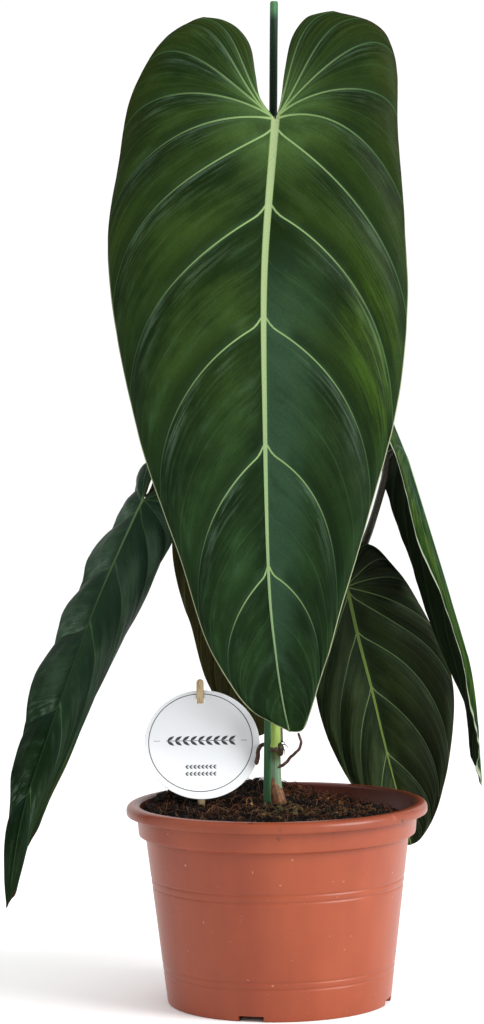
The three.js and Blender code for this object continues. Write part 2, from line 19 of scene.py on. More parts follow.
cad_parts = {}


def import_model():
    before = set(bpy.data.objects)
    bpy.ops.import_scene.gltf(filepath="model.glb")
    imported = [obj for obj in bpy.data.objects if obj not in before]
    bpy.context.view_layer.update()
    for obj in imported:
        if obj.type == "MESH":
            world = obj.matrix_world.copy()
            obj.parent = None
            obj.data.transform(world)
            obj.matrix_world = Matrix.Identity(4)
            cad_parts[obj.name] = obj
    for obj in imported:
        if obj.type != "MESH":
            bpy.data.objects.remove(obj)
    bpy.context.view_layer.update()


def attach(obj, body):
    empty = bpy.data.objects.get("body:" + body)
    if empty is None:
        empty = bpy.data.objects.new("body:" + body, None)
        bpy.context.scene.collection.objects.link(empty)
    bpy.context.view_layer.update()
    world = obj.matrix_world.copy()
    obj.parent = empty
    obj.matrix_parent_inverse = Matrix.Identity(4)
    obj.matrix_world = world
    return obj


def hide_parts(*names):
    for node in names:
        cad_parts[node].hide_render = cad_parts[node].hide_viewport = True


LOG = logging.getLogger("potted_plant")
MM = 0.001
# A direction that no tube runs along; its rings are squared up from it.
ASIDE = (0.31, 0.95, 0.12)
Array = np.ndarray
Material = bpy.types.Material
Pair = tuple[float, float]
Triple = tuple[float, float, float]
Colour = Triple
Rows = Sequence[Sequence[float]]
Number = Union[float, "Wire"]


# Small tools


def smooth(low: float, high: float, x: Array | float) -> Array:
    """Eases from 0 at low to 1 at high."""
    t = np.clip((np.asarray(x, float) - low) / (high - low), 0, 1)
    return t * t * (3 - 2 * t)


def unit(v: Sequence[float]) -> Array:
    """A vector of length one."""
    a = np.asarray(v, float)
    return a / np.linalg.norm(a)


def circle(count: int) -> Array:
    """The angles of points spread evenly round a circle."""
    return np.linspace(0, 2 * math.pi, count, endpoint=False)


def ripples(points: Array, size: float, seed: int, waves: int = 9) -> Array:
    """A smooth random field made of a few sine waves.

    Args:
        points: Places, one row each.
        size: Typical width of a ripple, in the unit of the points.
        seed: Picks the waves.
        waves: How many waves are added.

    Returns:
        One value a place, mostly between -1 and 1.
    """
    rng = np.random.default_rng(seed)
    total = np.zeros(len(points))
    for _ in range(waves):
        way = unit(rng.normal(size=points.shape[1]))
        stretch = rng.uniform(0.7, 1.6)
        total += np.sin(points @ way * (math.pi * stretch / size) + rng.uniform(0, 2 * math.pi))
    return total / math.sqrt(waves)


class Ends(Enum):
    """How a curve carries on past its first and last points."""

    MIRRORED = "mirrored"
    HELD = "held"


class Curve:
    """A smooth curve through points that can be walked by its length."""

    def __init__(self, points: Rows, ends: Ends = Ends.MIRRORED) -> None:
        """Takes the points and notes the length along the curve.

        Args:
            points: The places that the curve passes through.
            ends: How it carries on at its ends.
        """
        p = np.asarray(points, float)
        first, last = (2 * p[0] - p[1], 2 * p[-1] - p[-2]) if ends is Ends.MIRRORED else (p[0], p[-1])
        self.points = np.vstack([first, p, last])
        self.spans = len(p) - 1
        self.t = np.linspace(0, 1, 401)
        steps = np.linalg.norm(np.diff(self.by_share(self.t), axis=0), axis=1)
        self.run = np.concatenate([[0], np.cumsum(steps)])
        self.length = float(self.run[-1])

    def by_share(self, t: Array) -> Array:
        """The places at shares of the point count.

        Args:
            t: Shares of the point count, from 0 to 1.

        Returns:
            One place a row.
        """
        x = np.atleast_1d(t) * self.spans
        i = np.clip(np.floor(x).astype(int), 0, self.spans - 1)
        w = (x - i)[:, None]
        a, b, c, d = (self.points[i + k] for k in range(4))
        m0, m1 = 0.5 * (c - a), 0.5 * (d - b)
        return b + m0 * w + (3 * (c - b) - 2 * m0 - m1) * w**2 + (2 * (b - c) + m0 + m1) * w**3

    def at(self, share: Array | float) -> Array:
        """The places at shares of the length."""
        return self.by_share(np.interp(np.asarray(share) * self.length, self.run, self.t))

    def tangent(self, share: Array | float) -> Array:
        """The directions of travel at shares of the length.

        Args:
            share: Shares of the length, from 0 to 1.

        Returns:
            One direction of length one a row.
        """
        t = np.atleast_1d(np.interp(np.asarray(share) * self.length, self.run, self.t))
        way = self.by_share(np.minimum(t + 1e-4, 1)) - self.by_share(np.maximum(t - 1e-4, 0))
        return way / np.linalg.norm(way, axis=1)[:, None]


def linked(name: str, data: bpy.types.ID) -> bpy.types.Object:
    """Puts a mesh, a light or a camera in the scene.

    Args:
        name: The object's name.
        data: What the object holds.

    Returns:
        The new object.
    """
    obj = bpy.data.objects.new(name, data)
    bpy.context.scene.collection.objects.link(obj)
    return obj


@dataclass
class MeshData:
    """Points in millimetres, faces, and numbers kept at the points."""

    points: Array
    faces: list[Sequence[int]] | Array
    marks: dict[str, Array] = field(default_factory=dict)

    def joined(self, other: "MeshData") -> "MeshData":
        """This mesh and another as one.

        Args:
            other: The mesh to add, with the same marks.

        Returns:
            Both in one.
        """
        count = len(self.points)
        faces = [list(f) for f in self.faces] + [[i + count for i in f] for f in other.faces]
        marks = {mark: np.concatenate([values, other.marks[mark]])
                 for mark, values in self.marks.items() if mark in other.marks}
        return MeshData(np.vstack([self.points, other.points]), faces, marks)

    def bare(self, name: str) -> bpy.types.Mesh:
        """Makes the plain Blender mesh in metres.

        Args:
            name: The mesh's name.

        Returns:
            The mesh, without marks or material.
        """
        mesh = bpy.data.meshes.new(name)
        faces = self.faces.tolist() if isinstance(self.faces, Array) else self.faces
        mesh.from_pydata((self.points * MM).tolist(), [], faces)
        return mesh

    def piece(self, name: str, material: Material, slot: str, *nodes: str,
              crisp: float | None = None) -> bpy.types.Object:
        """Makes the Blender object and ties it to the frame.

        Args:
            name: The object's name.
            material: Its finish.
            slot: The record's material slot; it is not used.
            nodes: The CAD nodes that it stands for.
            crisp: Edges that turn more than this many degrees stay sharp.

        Returns:
            The new object.
        """
        mesh = self.bare(name)
        for mark, values in self.marks.items():
            layer = mesh.attributes.new(mark, "FLOAT", "POINT")
            layer.data.foreach_set("value", np.ascontiguousarray(values, dtype=np.float32))
        mesh.polygons.foreach_set("use_smooth", [True] * len(mesh.polygons))
        mesh.materials.append(material)
        mesh.update()
        if crisp is not None:
            mesh.set_sharp_from_angle(angle=math.radians(crisp))
        obj = linked(name, mesh)
        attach(obj, "root")
        if nodes:
            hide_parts(*nodes)
        LOG.info("%s: %d faces", name, len(mesh.polygons))
        return obj


def bands(count: int, sides: int, closed: bool = False) -> list[Sequence[int]]:
    """The quads between rings of points that follow one another.

    Args:
        count: How many bands.
        sides: Points to a ring.
        closed: Whether the last band ends on the first ring.

    Returns:
        The faces, band by band.
    """
    faces: list[Sequence[int]] = []
    for i in range(count):
        a, b = i * sides, (0 if closed and i + 1 == count else i + 1) * sides
        faces += [[a + k, a + (k + 1) % sides, b + (k + 1) % sides, b + k] for k in range(sides)]
    return faces


def tube(route: Curve, radius: Callable[[Array], Array], steps: int, sides: int,
         shape: Callable[[Array, Array], Array] | None = None) -> MeshData:
    """A closed round tube along a route.

    Args:
        route: The curve that it follows.
        radius: The radius at shares of the length.
        steps: Rings along it, less one.
        sides: Points round it.
        shape: Adds to the radius by share of the length and angle.

    Returns:
        The mesh, with the marks share and turn.
    """
    share = np.linspace(0, 1, steps + 1)
    centre, along = route.at(share), route.tangent(share)
    normal = np.cross(along[0], ASIDE)
    frames = []
    for way in along:
        normal = normal - way * (normal @ way)
        normal /= np.linalg.norm(normal)
        frames.append((normal, np.cross(way, normal)))
    angle = circle(sides)
    n = np.array([f[0] for f in frames])[:, None, :]
    b = np.array([f[1] for f in frames])[:, None, :]
    s, a = np.meshgrid(share, angle, indexing="ij")
    r = np.repeat(radius(share)[:, None], sides, 1)
    if shape is not None:
        r = r + shape(s, a)
    around = n * np.cos(angle)[None, :, None] + b * np.sin(angle)[None, :, None]
    skin = (centre[:, None, :] + r[..., None] * around).reshape(-1, 3)
    points = np.vstack([skin, centre[0], centre[-1]])
    foot = (steps + 1) * sides
    faces = bands(steps, sides)
    for j in range(sides):
        faces.append([foot, (j + 1) % sides, j])
        faces.append([foot + 1, steps * sides + j, steps * sides + (j + 1) % sides])
    marks = {"share": np.concatenate([s.ravel(), [0, 1]]), "turn": np.concatenate([a.ravel(), [0, 0]])}
    return MeshData(points, faces, marks)


def lathe(profile: Rows, sides: int) -> MeshData:
    """A solid turned about Z.

    Args:
        profile: Rows of radius and height that start and end on the axis.
        sides: Points round it.

    Returns:
        The closed mesh.
    """
    rows = np.asarray(profile, float)
    angle = circle(sides)
    rings = rows[1:-1]
    points = [[0, 0, rows[0][1]]]
    for r, z in rings:
        points += [[r * math.cos(a), r * math.sin(a), z] for a in angle]
    points.append([0, 0, rows[-1][1]])
    faces: list[Sequence[int]] = []
    for k in range(sides):
        nxt = (k + 1) % sides
        faces.append([0, 1 + nxt, 1 + k])
        for i in range(len(rings) - 1):
            a, b = 1 + i * sides, 1 + (i + 1) * sides
            faces.append([a + k, a + nxt, b + nxt, b + k])
        top = 1 + (len(rings) - 1) * sides
        faces.append([len(points) - 1, top + k, top + nxt])
    return MeshData(np.array(points), faces)


def cut(obj: bpy.types.Object, cutters: Sequence[bpy.types.Object], crisp: float) -> None:
    """Takes the cutters out of an object, removes them and keeps its edges crisp.

    Args:
        obj: The object that is cut.
        cutters: Closed solids to take away.
        crisp: Edges that turn more than this many degrees stay sharp.
    """
    for cutter in cutters:
        modifier = obj.modifiers.new("cut", "BOOLEAN")
        modifier.operation, modifier.solver, modifier.object = "DIFFERENCE", "EXACT", cutter
    evaluated = obj.evaluated_get(bpy.context.evaluated_depsgraph_get())
    mesh = bpy.data.meshes.new_from_object(evaluated)
    obj.modifiers.clear()
    mesh.polygons.foreach_set("use_smooth", [True] * len(mesh.polygons))
    mesh.set_sharp_from_angle(angle=math.radians(crisp))
    obj.data = mesh
    for cutter in cutters:
        bpy.data.objects.remove(cutter, do_unlink=True)


def block(size: Sequence[float], matrix: Matrix) -> bpy.types.Object:
    """A plain box that is used only as a cutter.

    Args:
        size: Its sides in millimetres.
        matrix: Where it stands, in millimetres.

    Returns:
        The box.
    """
    mesh = bpy.data.meshes.new("cutter")
    work = bmesh.new()
    bmesh.ops.create_cube(work, size=1.0, matrix=Matrix.Diagonal((*size, 1)))
    bmesh.ops.transform(work, matrix=Matrix.Scale(MM, 4) @ matrix, verts=work.verts)
    work.to_mesh(mesh)
    work.free()
    return linked("cutter", mesh)


# Shader maths


class Wire:
    """A node's output that can be used in Python expressions."""

    def __init__(self, tree: "Tree", socket: bpy.types.NodeSocket) -> None:
        """Keeps the tree and the socket."""
        self.tree, self.socket = tree, socket

    def _math(self, operation: str, first: Number, second: Number = 0.0, clamp: bool = False) -> "Wire":
        """Adds a Math node."""
        settings = {"operation": operation, "use_clamp": clamp}
        return self.tree.add("ShaderNodeMath", settings, {0: first, 1: second})

    def __add__(self, other: Number) -> "Wire":
        """Sum."""
        return self._math("ADD", self, other)

    def __sub__(self, other: Number) -> "Wire":
        """Difference."""
        return self._math("SUBTRACT", self, other)

    def __mul__(self, other: Number) -> "Wire":
        """Product."""
        return self._math("MULTIPLY", self, other)

    def __truediv__(self, other: Number) -> "Wire":
        """Quotient."""
        return self._math("DIVIDE", self, other)

    def __pow__(self, other: Number) -> "Wire":
        """Power."""
        return self._math("POWER", self, other)

    def __rsub__(self, other: Number) -> "Wire":
        """Difference from a number."""
        return self._math("SUBTRACT", other, self)

    def __rtruediv__(self, other: Number) -> "Wire":
        """Number over this."""
        return self._math("DIVIDE", other, self)

    __radd__ = __add__
    __rmul__ = __mul__

    def sine(self) -> "Wire":
        """Sine of this."""
        return self._math("SINE", self)

    def held(self) -> "Wire":
        """This, kept between 0 and 1."""
        return self._math("ADD", self, 0.0, clamp=True)

    def ease(self, low: float, high: float) -> "Wire":
        """Eases from 0 at low to 1 at high; low may be the larger.

        Args:
            low: Where it gives 0.
            high: Where it gives 1.

        Returns:
            A number between 0 and 1.
        """
        flip = low > high
        ends = (high, low) if flip else (low, high)
        settings = {"interpolation_type": "SMOOTHSTEP"}
        values = {"Value": self, "From Min": ends[0], "From Max": ends[1],
                  "To Min": 1.0 if flip else 0.0, "To Max": 0.0 if flip else 1.0}
        return self.tree.add("ShaderNodeMapRange", settings, values)


class Tree:
    """The node tree of one material."""

    def __init__(self, name: str) -> None:
        """Starts an empty material.

        Args:
            name: The material's name.
        """
        self.material = bpy.data.materials.new(name)
        self.material.use_nodes = True
        self.nodes = self.material.node_tree.nodes
        self.links = self.material.node_tree.links
        self.nodes.clear()

    def add(self, kind: str, settings: Mapping[str, Any] | None = None,
            inputs: Mapping[Union[str, int], Any] | None = None, output: Union[str, int] = 0) -> Wire:
        """Adds a node, sets it, then fills its inputs.

        Args:
            kind: The node's type.
            settings: Its properties; a list under "stops" fills a colour ramp.
            inputs: Values or wires by socket name or number.
            output: Which output is returned.

        Returns:
            The wire of that output.
        """
        node = self.nodes.new(kind)
        for key, value in (settings or {}).items():
            if key == "stops":
                ramp = node.color_ramp
                while len(ramp.elements) < len(value):
                    ramp.elements.new(0.5)
                for element, (place, colour) in zip(ramp.elements, value):
                    element.position, element.color = place, (*colour, 1)
            else:
                setattr(node, key, value)
        for key, value in (inputs or {}).items():
            self.fill(node.inputs[key], value)
        return Wire(self, node.outputs[output])

    def fill(self, socket: bpy.types.NodeSocket, value: Any) -> None:
        """Links a wire to a socket, or sets what the socket holds.

        Args:
            socket: The input that is filled.
            value: A wire, a number or a tuple; a colour may leave out its alpha.
        """
        if isinstance(value, Wire):
            self.links.new(value.socket, socket)
        elif isinstance(value, tuple) and len(value) == 3 and socket.type == "RGBA":
            socket.default_value = (*value, 1)
        else:
            socket.default_value = value

    def mark(self, name: str) -> Wire:
        """A number kept at the mesh's points."""
        return self.add("ShaderNodeAttribute", {"attribute_name": name}, output="Fac")

    def place(self) -> Wire:
        """The point's place on the object, in metres."""
        return self.add("ShaderNodeTexCoord", output="Object")

    def axes(self, vector: Wire) -> tuple[Wire, Wire, Wire]:
        """The three parts of a vector.

        Args:
            vector: The vector.

        Returns:
            Its x, y and z.
        """
        first = self.add("ShaderNodeSeparateXYZ", {}, {0: vector})
        node = first.socket.node
        return first, Wire(self, node.outputs[1]), Wire(self, node.outputs[2])

    def vector(self, x: Number, y: Number, z: Number = 0.0) -> Wire:
        """A vector from three numbers."""
        return self.add("ShaderNodeCombineXYZ", {}, {0: x, 1: y, 2: z})

    def noise(self, scale: float, vector: Wire | None = None, detail: float = 3.0,
              rough: float = 0.55) -> Wire:
        """Noise between 0 and 1."""
        values = {"Vector": vector or self.place(), "Scale": scale, "Detail": detail, "Roughness": rough}
        return self.add("ShaderNodeTexNoise", {}, values)

    def mix(self, share: Number, first: Union[Colour, Wire], second: Union[Colour, Wire]) -> Wire:
        """A colour between two."""
        settings = {"data_type": "RGBA", "clamp_factor": True}
        return self.add("ShaderNodeMix", settings, {0: share, 6: first, 7: second}, 2)

    def ramp(self, share: Wire, stops: Sequence[tuple[float, Colour]]) -> Wire:
        """A colour from a ramp."""
        return self.add("ShaderNodeValToRGB", {"stops": stops}, {"Fac": share})

    def tint(self, colour: Wire, factor: Wire) -> Wire:
        """A colour times a number."""
        return self.add("ShaderNodeVectorMath", {"operation": "SCALE"}, {0: colour, "Scale": factor})

    def bump(self, height: Wire, distance: float, strength: float) -> Wire:
        """A normal from a height, with the distance in metres."""
        values = {"Height": height, "Distance": distance, "Strength": strength}
        return self.add("ShaderNodeBump", {}, values)

    def close(self, base: Wire, roughness: Number, normal: Wire | None = None,
              **constants: Any) -> Material:
        """Ends the tree in a Principled shader.

        Args:
            base: The base colour.
            roughness: The roughness.
            normal: The bumped normal.
            constants: Other inputs, with underscores for spaces.

        Returns:
            The finished material.
        """
        inputs: dict[Union[str, int], Any] = {"Base Color": base, "Roughness": roughness}
        if normal is not None:
            inputs["Normal"] = normal
        for key, value in constants.items():
            inputs[key.replace("_", " ")] = value
        shader = self.add("ShaderNodeBsdfPrincipled", {}, inputs)
        self.links.new(shader.socket, self.nodes.new("ShaderNodeOutputMaterial").inputs["Surface"])
        return self.material


# Finishes


# The height in metres at which a midrib's ramp of colours ends.
RIB_TOP = 0.6


class SkinReader:
    """Reads a blade's marks and lays out the noise that its layers share."""

    def __init__(self, name: str) -> None:
        """Starts the material's tree.

        Args:
            name: The material's name.
        """
        self.tree = t = Tree(name)
        self.phase, self.reach, self.under = t.mark("phase"), t.mark("reach"), t.mark("under")
        self.vein, self.minor, self.rib = t.mark("vein"), t.mark("minor"), t.mark("rib")
        self.edge, self.broad, self.side = t.mark("edge"), t.mark("broad"), t.mark("side")
        self.x, _, self.z = t.axes(t.place())
        self.right = self.side * 0.5 + 0.5
        self.along = t.vector(self.phase * 2.4 + self.side * 9.0, self.reach * 1.5)
        fine = t.vector(self.phase * 15.0 + self.side * 9.0, self.reach * 1.2)
        self.streak, self.thread = t.noise(3.2, self.along, 4.0, 0.6), t.noise(2.0, fine, 3.0, 0.6)
        self.cloud, self.speck = t.noise(24.0, None, 3.0), t.noise(620.0, None, 2.0)
        between = t.add("ShaderNodeMath", {"operation": "FRACT"}, {0: self.phase})
        self.band = between * self.reach.ease(0.0, 0.2)


@dataclass(frozen=True)
class LeafFinish:
    """The velvety skin of a blade with its pale veins.

    Attributes:
        cool: Darkest and lightest skin low on the plant; warm is for above warm_from.
        Painted sheen: a haze beside the rib, and pale streaks over the skin whose colour also tints the
            halo round the veins; glow is where the petiole joins.
        olive: Sunlit patches, between counts of veins and shares of reach.
        rib: The midrib's colours by height in metres.
        shade: The shaded side of the swells between veins; glint is on their lit side.
    """

    cool: tuple[Colour, Colour] = ((0.0045, 0.013, 0.0034), (0.013, 0.0345, 0.0095))
    warm: tuple[Colour, Colour] = ((0.006, 0.015, 0.0026), (0.023, 0.0465, 0.0076))
    right_dim: float = 0.2
    # Painted sheen: a pale bluish haze beside the rib on the right half.
    rib_sheen: Colour = (0.029, 0.066, 0.036)
    rib_sheen_share: float = 0.62
    glow: Colour = (0.085, 0.16, 0.04)
    glow_share: float = 0.55
    glow_place: Pair = (0.0046, 0.553)
    warm_from: Pair = (0.27, 0.5)
    olive: Colour = (0.04, 0.086, 0.004)
    olive_phase: Pair = (6.2, 8.1)
    olive_reach: Pair = (0.3, 0.97)
    olive_share: float = 0.9
    olive_side: float = 1.0
    # A pale colour painted as sheen in streaks; veined() also uses it for the halo round the veins.
    sheen_and_halo: Colour = (0.03, 0.062, 0.036)
    sheen_streak_share: float = 0.27
    vein: Colour = (0.185, 0.28, 0.105)
    vein_far: Colour = (0.034, 0.075, 0.028)
    vein_share: float = 1.0
    minor_share: float = 0.2
    rib: Sequence[tuple[float, Colour]] = (
        (0.18, (0.118, 0.182, 0.092)), (0.21, (0.135, 0.205, 0.1)), (0.24, (0.158, 0.24, 0.115)),
        (0.275, (0.19, 0.275, 0.13)), (0.307, (0.212, 0.3, 0.142)), (0.36, (0.21, 0.29, 0.138)),
        (0.44, (0.245, 0.32, 0.15)), (0.53, (0.23, 0.295, 0.142)),
    )
    shade: Colour = (0.0025, 0.0085, 0.0015)
    shade_share: float = 0.7
    lit_above: bool = False
    glint: Colour = (0.095, 0.15, 0.105)
    glint_share: float = 0.38
    glint_from: Pair = (0.1, 0.26)
    glint_above: Pair = (0.24, 0.33)
    brown: Colour = (0.0175, 0.0235, 0.001)
    brown_share: float = 0.5
    edge: tuple[Colour, Colour] = ((0.26, 0.29, 0.17), (0.03, 0.016, 0.008))
    edge_from: Pair = (0.42, 0.5)
    under: Colour = (0.033, 0.031, 0.01)
    under_vein: Colour = (0.075, 0.075, 0.026)
    specular: float = 0.035
    sheen: float = 0.01
    roughness: Pair = (0.36, 0.54)

    def toned(self, m: SkinReader) -> Wire:
        """The skin's colour, with its sunlit patches and pale streaks of painted sheen.

        Args:
            m: The blade's marks and noise.

        Returns:
            The colour.
        """
        t = m.tree
        tone = m.cloud * 0.45 + m.streak * 0.24 + m.thread * 0.2 + m.band * 0.2 + 0.07
        tone = tone.ease(0.47, 0.78)
        heat = (m.z + m.cloud * 0.1 - 0.05).ease(*self.warm_from)
        skin = t.mix(heat, t.mix(tone, *self.cool), t.mix(tone, *self.warm))
        (low, high), (near, far) = self.olive_phase, self.olive_reach
        window = m.phase.ease(low, low + 0.7) * m.phase.ease(high, high - 0.8)
        window = window * m.reach.ease(near, near + 0.25) * m.reach.ease(far + 0.02, far - 0.2)
        patch = (m.thread * 0.5 + m.streak * 0.6).ease(0.42, 0.72)
        sunlit = window * (m.side * self.olive_side * 0.5 + 0.5) * patch
        skin = t.mix(sunlit * self.olive_share, skin, self.olive)
        outer = m.right * m.reach.ease(0.12, 0.5)
        # Painted sheen: pale streaks of the sheen colour, fewer on the outer right.
        pale = m.streak.ease(0.5, 0.76) * self.sheen_streak_share * (1.0 - outer * 0.8)
        return t.tint(t.mix(pale, skin, self.sheen_and_halo), 1.0 - outer * self.right_dim)

    def lit(self, m: SkinReader, skin: Wire) -> Wire:
        """Adds painted sheen beside the rib, glow, the painted shading of the quilted swells, tinged
        lobes and painted sheen.

        Args:
            m: The blade's marks and noise.
            skin: The colour below.

        Returns:
            The colour.
        """
        t = m.tree
        beside_rib = m.right * m.reach.ease(0.38, 0.05) * m.z.ease(0.49, 0.42) * m.z.ease(0.19, 0.25)
        # Painted sheen beside the rib.
        skin = t.mix(beside_rib * self.rib_sheen_share * m.streak.ease(0.0, 0.5), skin, self.rib_sheen)
        away = ((m.x - self.glow_place[0]) ** 2.0 + (m.z - self.glow_place[1]) ** 2.0) ** 0.5
        glow = away.ease(0.05, 0.004) * self.glow_share * m.cloud.ease(0.1, 0.6)
        skin = t.mix(glow, skin, self.glow)
        ahead, behind = (1.0 - m.band, m.band) if self.lit_above else (m.band, 1.0 - m.band)
        dark = ahead.ease(0.45, 0.9) * m.broad.ease(17.0, 1.0) * m.reach.ease(0.02, 0.15)
        skin = t.mix(dark * self.shade_share * m.cloud.ease(0.25, 0.6), skin, self.shade)
        lobe = m.z.ease(0.44, 0.56) * m.edge.ease(34.0, 4.0)
        lobe = lobe * (m.thread * 0.5 + m.cloud * 0.5).ease(0.36, 0.6)
        skin = t.mix(lobe * self.brown_share, skin, self.brown)
        glint = behind.ease(0.45, 0.95) * m.broad.ease(16.0, 3.0) * m.reach.ease(*self.glint_from)
        glint = glint * (m.thread * 0.7 + m.streak * 0.5).ease(0.56, 0.74) * m.reach.ease(0.95, 0.55)
        glint = glint * (1.0 - m.right * 0.4) * m.z.ease(*self.glint_above)
        return t.mix(glint * self.glint_share, skin, self.glint)

    def veined(self, m: SkinReader, skin: Wire) -> Wire:
        """Draws the veins, the midrib and the margin.

        Args:
            m: The blade's marks and noise.
            skin: The colour below.

        Returns:
            The colour.
        """
        t = m.tree
        halo = m.broad.ease(5.0, 0.3) * (0.9 - m.reach * 0.8).held()
        skin = t.mix(halo * 0.22 * self.vein_share, skin, self.sheen_and_halo)
        skin = t.tint(skin, 0.84 + m.speck * 0.32)
        skin = t.mix(m.minor.ease(1.15, 0.25) * self.minor_share, skin, self.vein_far)
        line = m.vein.ease(1.35, 0.55) * self.vein_share * (1.0 - 0.35 * m.reach)
        line = line * m.phase.ease(10.95, 10.6)
        skin = t.mix(line, skin, t.mix(m.reach.ease(0.0, 0.8), self.vein, self.vein_far))
        stops = [(height / RIB_TOP, colour) for height, colour in self.rib]
        middle = t.ramp((m.z + m.cloud * 0.02 - 0.01) / RIB_TOP, stops)
        skin = t.mix(m.rib.ease(1.12, 0.8), skin, t.mix(m.rib.ease(1.15, 0.55), self.vein, middle))
        rim = t.mix((m.z + m.cloud * 0.06 - 0.03).ease(*self.edge_from), *self.edge)
        return t.mix(m.edge.ease(0.85, 0.25) * 0.9, skin, rim)

    def below(self, m: SkinReader) -> Wire:
        """The underside with its veins.

        Args:
            m: The blade's marks and noise.

        Returns:
            The colour.
        """
        t = m.tree
        skin = t.mix(m.streak.ease(0.3, 0.7), self.under, tuple(0.7 * c for c in self.under))
        skin = t.mix(m.vein.ease(1.6, 0.5) * 0.6, skin, self.under_vein)
        return t.mix(m.rib.ease(1.2, 0.8) * 0.8, skin, self.under_vein)

    def material(self, name: str) -> Material:
        """The finish as a Blender material.

        Args:
            name: The material's name.

        Returns:
            The finished material.
        """
        m = SkinReader(name)
        t = m.tree
        above = self.veined(m, self.lit(m, self.toned(m)))
        base = t.mix(m.under, above, self.below(m))
        cells = t.add("ShaderNodeTexVoronoi", {}, {"Vector": t.place(), "Scale": 760.0})
        height = cells * 0.5 + m.minor.ease(1.4, 0.0) * -0.8 + m.streak * 0.7 + m.thread * 0.5
        low, high = self.roughness
        rough = low + (high - low) * t.noise(60.0, m.along, 2.0)
        return t.close(base, rough, t.bump(height, 0.00018, 0.8), Specular_IOR_Level=self.specular,
                       Sheen_Weight=self.sheen, Sheen_Roughness=0.35, Sheen_Tint=(0.55, 0.8, 0.6, 1))


@dataclass(frozen=True)
class StalkFinish:
    """A waxy stalk with fine lengthwise grooves; it may turn deeper below a height."""

    light: Colour = (0.3, 0.4, 0.085)
    dark: Colour = (0.17, 0.27, 0.035)
    low_light: Colour = (0.06, 0.165, 0.07)
    low_dark: Colour = (0.02, 0.075, 0.03)
    level: Pair = (-1.0, -0.9)
    node: Colour = (0.022, 0.036, 0.009)
    node_from: Pair = (-1.0, -0.9)
    roughness: float = 0.36

    def material(self, name: str) -> Material:
        """The finish as a Blender material.

        Args:
            name: The material's name.

        Returns:
            The finished material.
        """
        t = Tree(name)
        share, turn = t.mark("share"), t.mark("turn")
        _, _, z = t.axes(t.place())
        line = t.noise(3.0, t.vector(turn * 2.2, share * 4.0), 4.0)
        patch = t.noise(55.0)
        tone = (line * 0.6 + patch * 0.5).ease(0.35, 0.75)
        upper = t.mix(tone, self.dark, self.light)
        lower = t.mix(tone, self.low_dark, self.low_light)
        base = t.mix((z + patch * 0.004).ease(*self.level), lower, upper)
        low, high = self.node_from
        ring = z + line * 0.002
        stretch = ring.ease(low, low + 0.006) * ring.ease(high, high - 0.002)
        base = t.mix(stretch * 0.9, base, self.node)
        base = t.tint(base, 0.85 + t.noise(900.0) * 0.3)
        grooves = (turn * 9.0).sine() * 0.3 + line
        return t.close(base, self.roughness + patch * 0.15, t.bump(grooves, 0.0003, 0.5),
                       Specular_IOR_Level=0.35)


@dataclass(frozen=True)
class BarkFinish:
    """Dry brown tissue: scars, papery sheaths and roots."""

    light: Colour = (0.21, 0.085, 0.03)
    dark: Colour = (0.055, 0.024, 0.01)
    roughness: float = 0.5

    def material(self, name: str) -> Material:
        """The finish as a Blender material.

        Args:
            name: The material's name.

        Returns:
            The finished material.
        """
        t = Tree(name)
        patch = t.noise(240.0, None, 5.0, 0.65)
        base = t.mix(patch.ease(0.35, 0.68), self.dark, self.light)
        return t.close(base, self.roughness, t.bump(patch, 0.0005, 0.7), Specular_IOR_Level=0.25)


@dataclass(frozen=True)
class PotFinish:
    """Terracotta-coloured moulded plastic with light scuffs, specks and soil dust, and painted shade
    darkening the rim.

    Attributes:
        wall: The radius that parts inside from outside at a height, and its slope.
    """

    clay: Colour = (0.212, 0.037, 0.013)
    pale: Colour = (0.268, 0.054, 0.019)
    # Painted shade: how much darker the rim is, from the start height up.
    rim_shade: float = 0.16
    rim_shade_from: Pair = (0.119, 0.1205)
    scuff: Colour = (0.44, 0.22, 0.15)
    dirt: Colour = (0.05, 0.018, 0.011)
    dirt_from: Pair = (0.1, 0.118)
    inside: Colour = (0.088, 0.022, 0.014)
    inside_from: Pair = (0.1055, 0.107)
    wall: Triple = (0.0826, 0.106, 0.376)

    def material(self, name: str) -> Material:
        """The finish as a Blender material.

        Args:
            name: The material's name.

        Returns:
            The finished material.
        """
        t = Tree(name)
        x, y, z = t.axes(t.place())
        cloud, haze = t.noise(14.0, None, 4.0), t.noise(60.0, None, 5.0, 0.65)
        flow = t.noise(20.0, t.vector(x * 2.0, y * 2.0, z * 0.25), 3.0, 0.5)
        scratch = t.noise(60.0, t.vector(x * 5.0 + z * 3.0, y * 5.0, z * 1.0), 5.0, 0.6)
        speck, grit = t.noise(330.0, None, 1.0), t.noise(150.0, None, 2.0)
        base = t.mix((cloud * 0.5 + flow * 0.5).ease(0.3, 0.7), self.clay, self.pale)
        base = t.tint(base, 0.93 + haze * 0.14)
        base = t.mix(scratch.ease(0.7, 0.74) * 0.3, base, self.scuff)
        base = t.mix(speck.ease(0.755, 0.8) * 0.7, base, self.scuff)
        # Painted shade: the rim band and everything above it are darkened.
        base = t.tint(base, 1.0 - z.ease(*self.rim_shade_from) * self.rim_shade)
        base = t.mix(grit.ease(0.66, 0.74) * z.ease(*self.dirt_from) * 0.8, base, self.dirt)
        radius = (x * x + y * y) ** 0.5
        start, level, slope = self.wall
        wall = (z - level) * slope + start
        inner = (wall - radius).ease(-0.0004, 0.0004) * z.ease(*self.inside_from)
        base = t.mix(inner * (0.65 + haze * 0.5), base, self.inside)
        grain = t.noise(700.0, None, 2.0) * 0.25 + haze * 0.35 + flow * 0.6
        rough = 0.27 + cloud * 0.16 + scratch.ease(0.6, 0.8) * 0.15
        return t.close(base, rough, t.bump(grain, 0.00022, 0.4), Specular_IOR_Level=0.34)


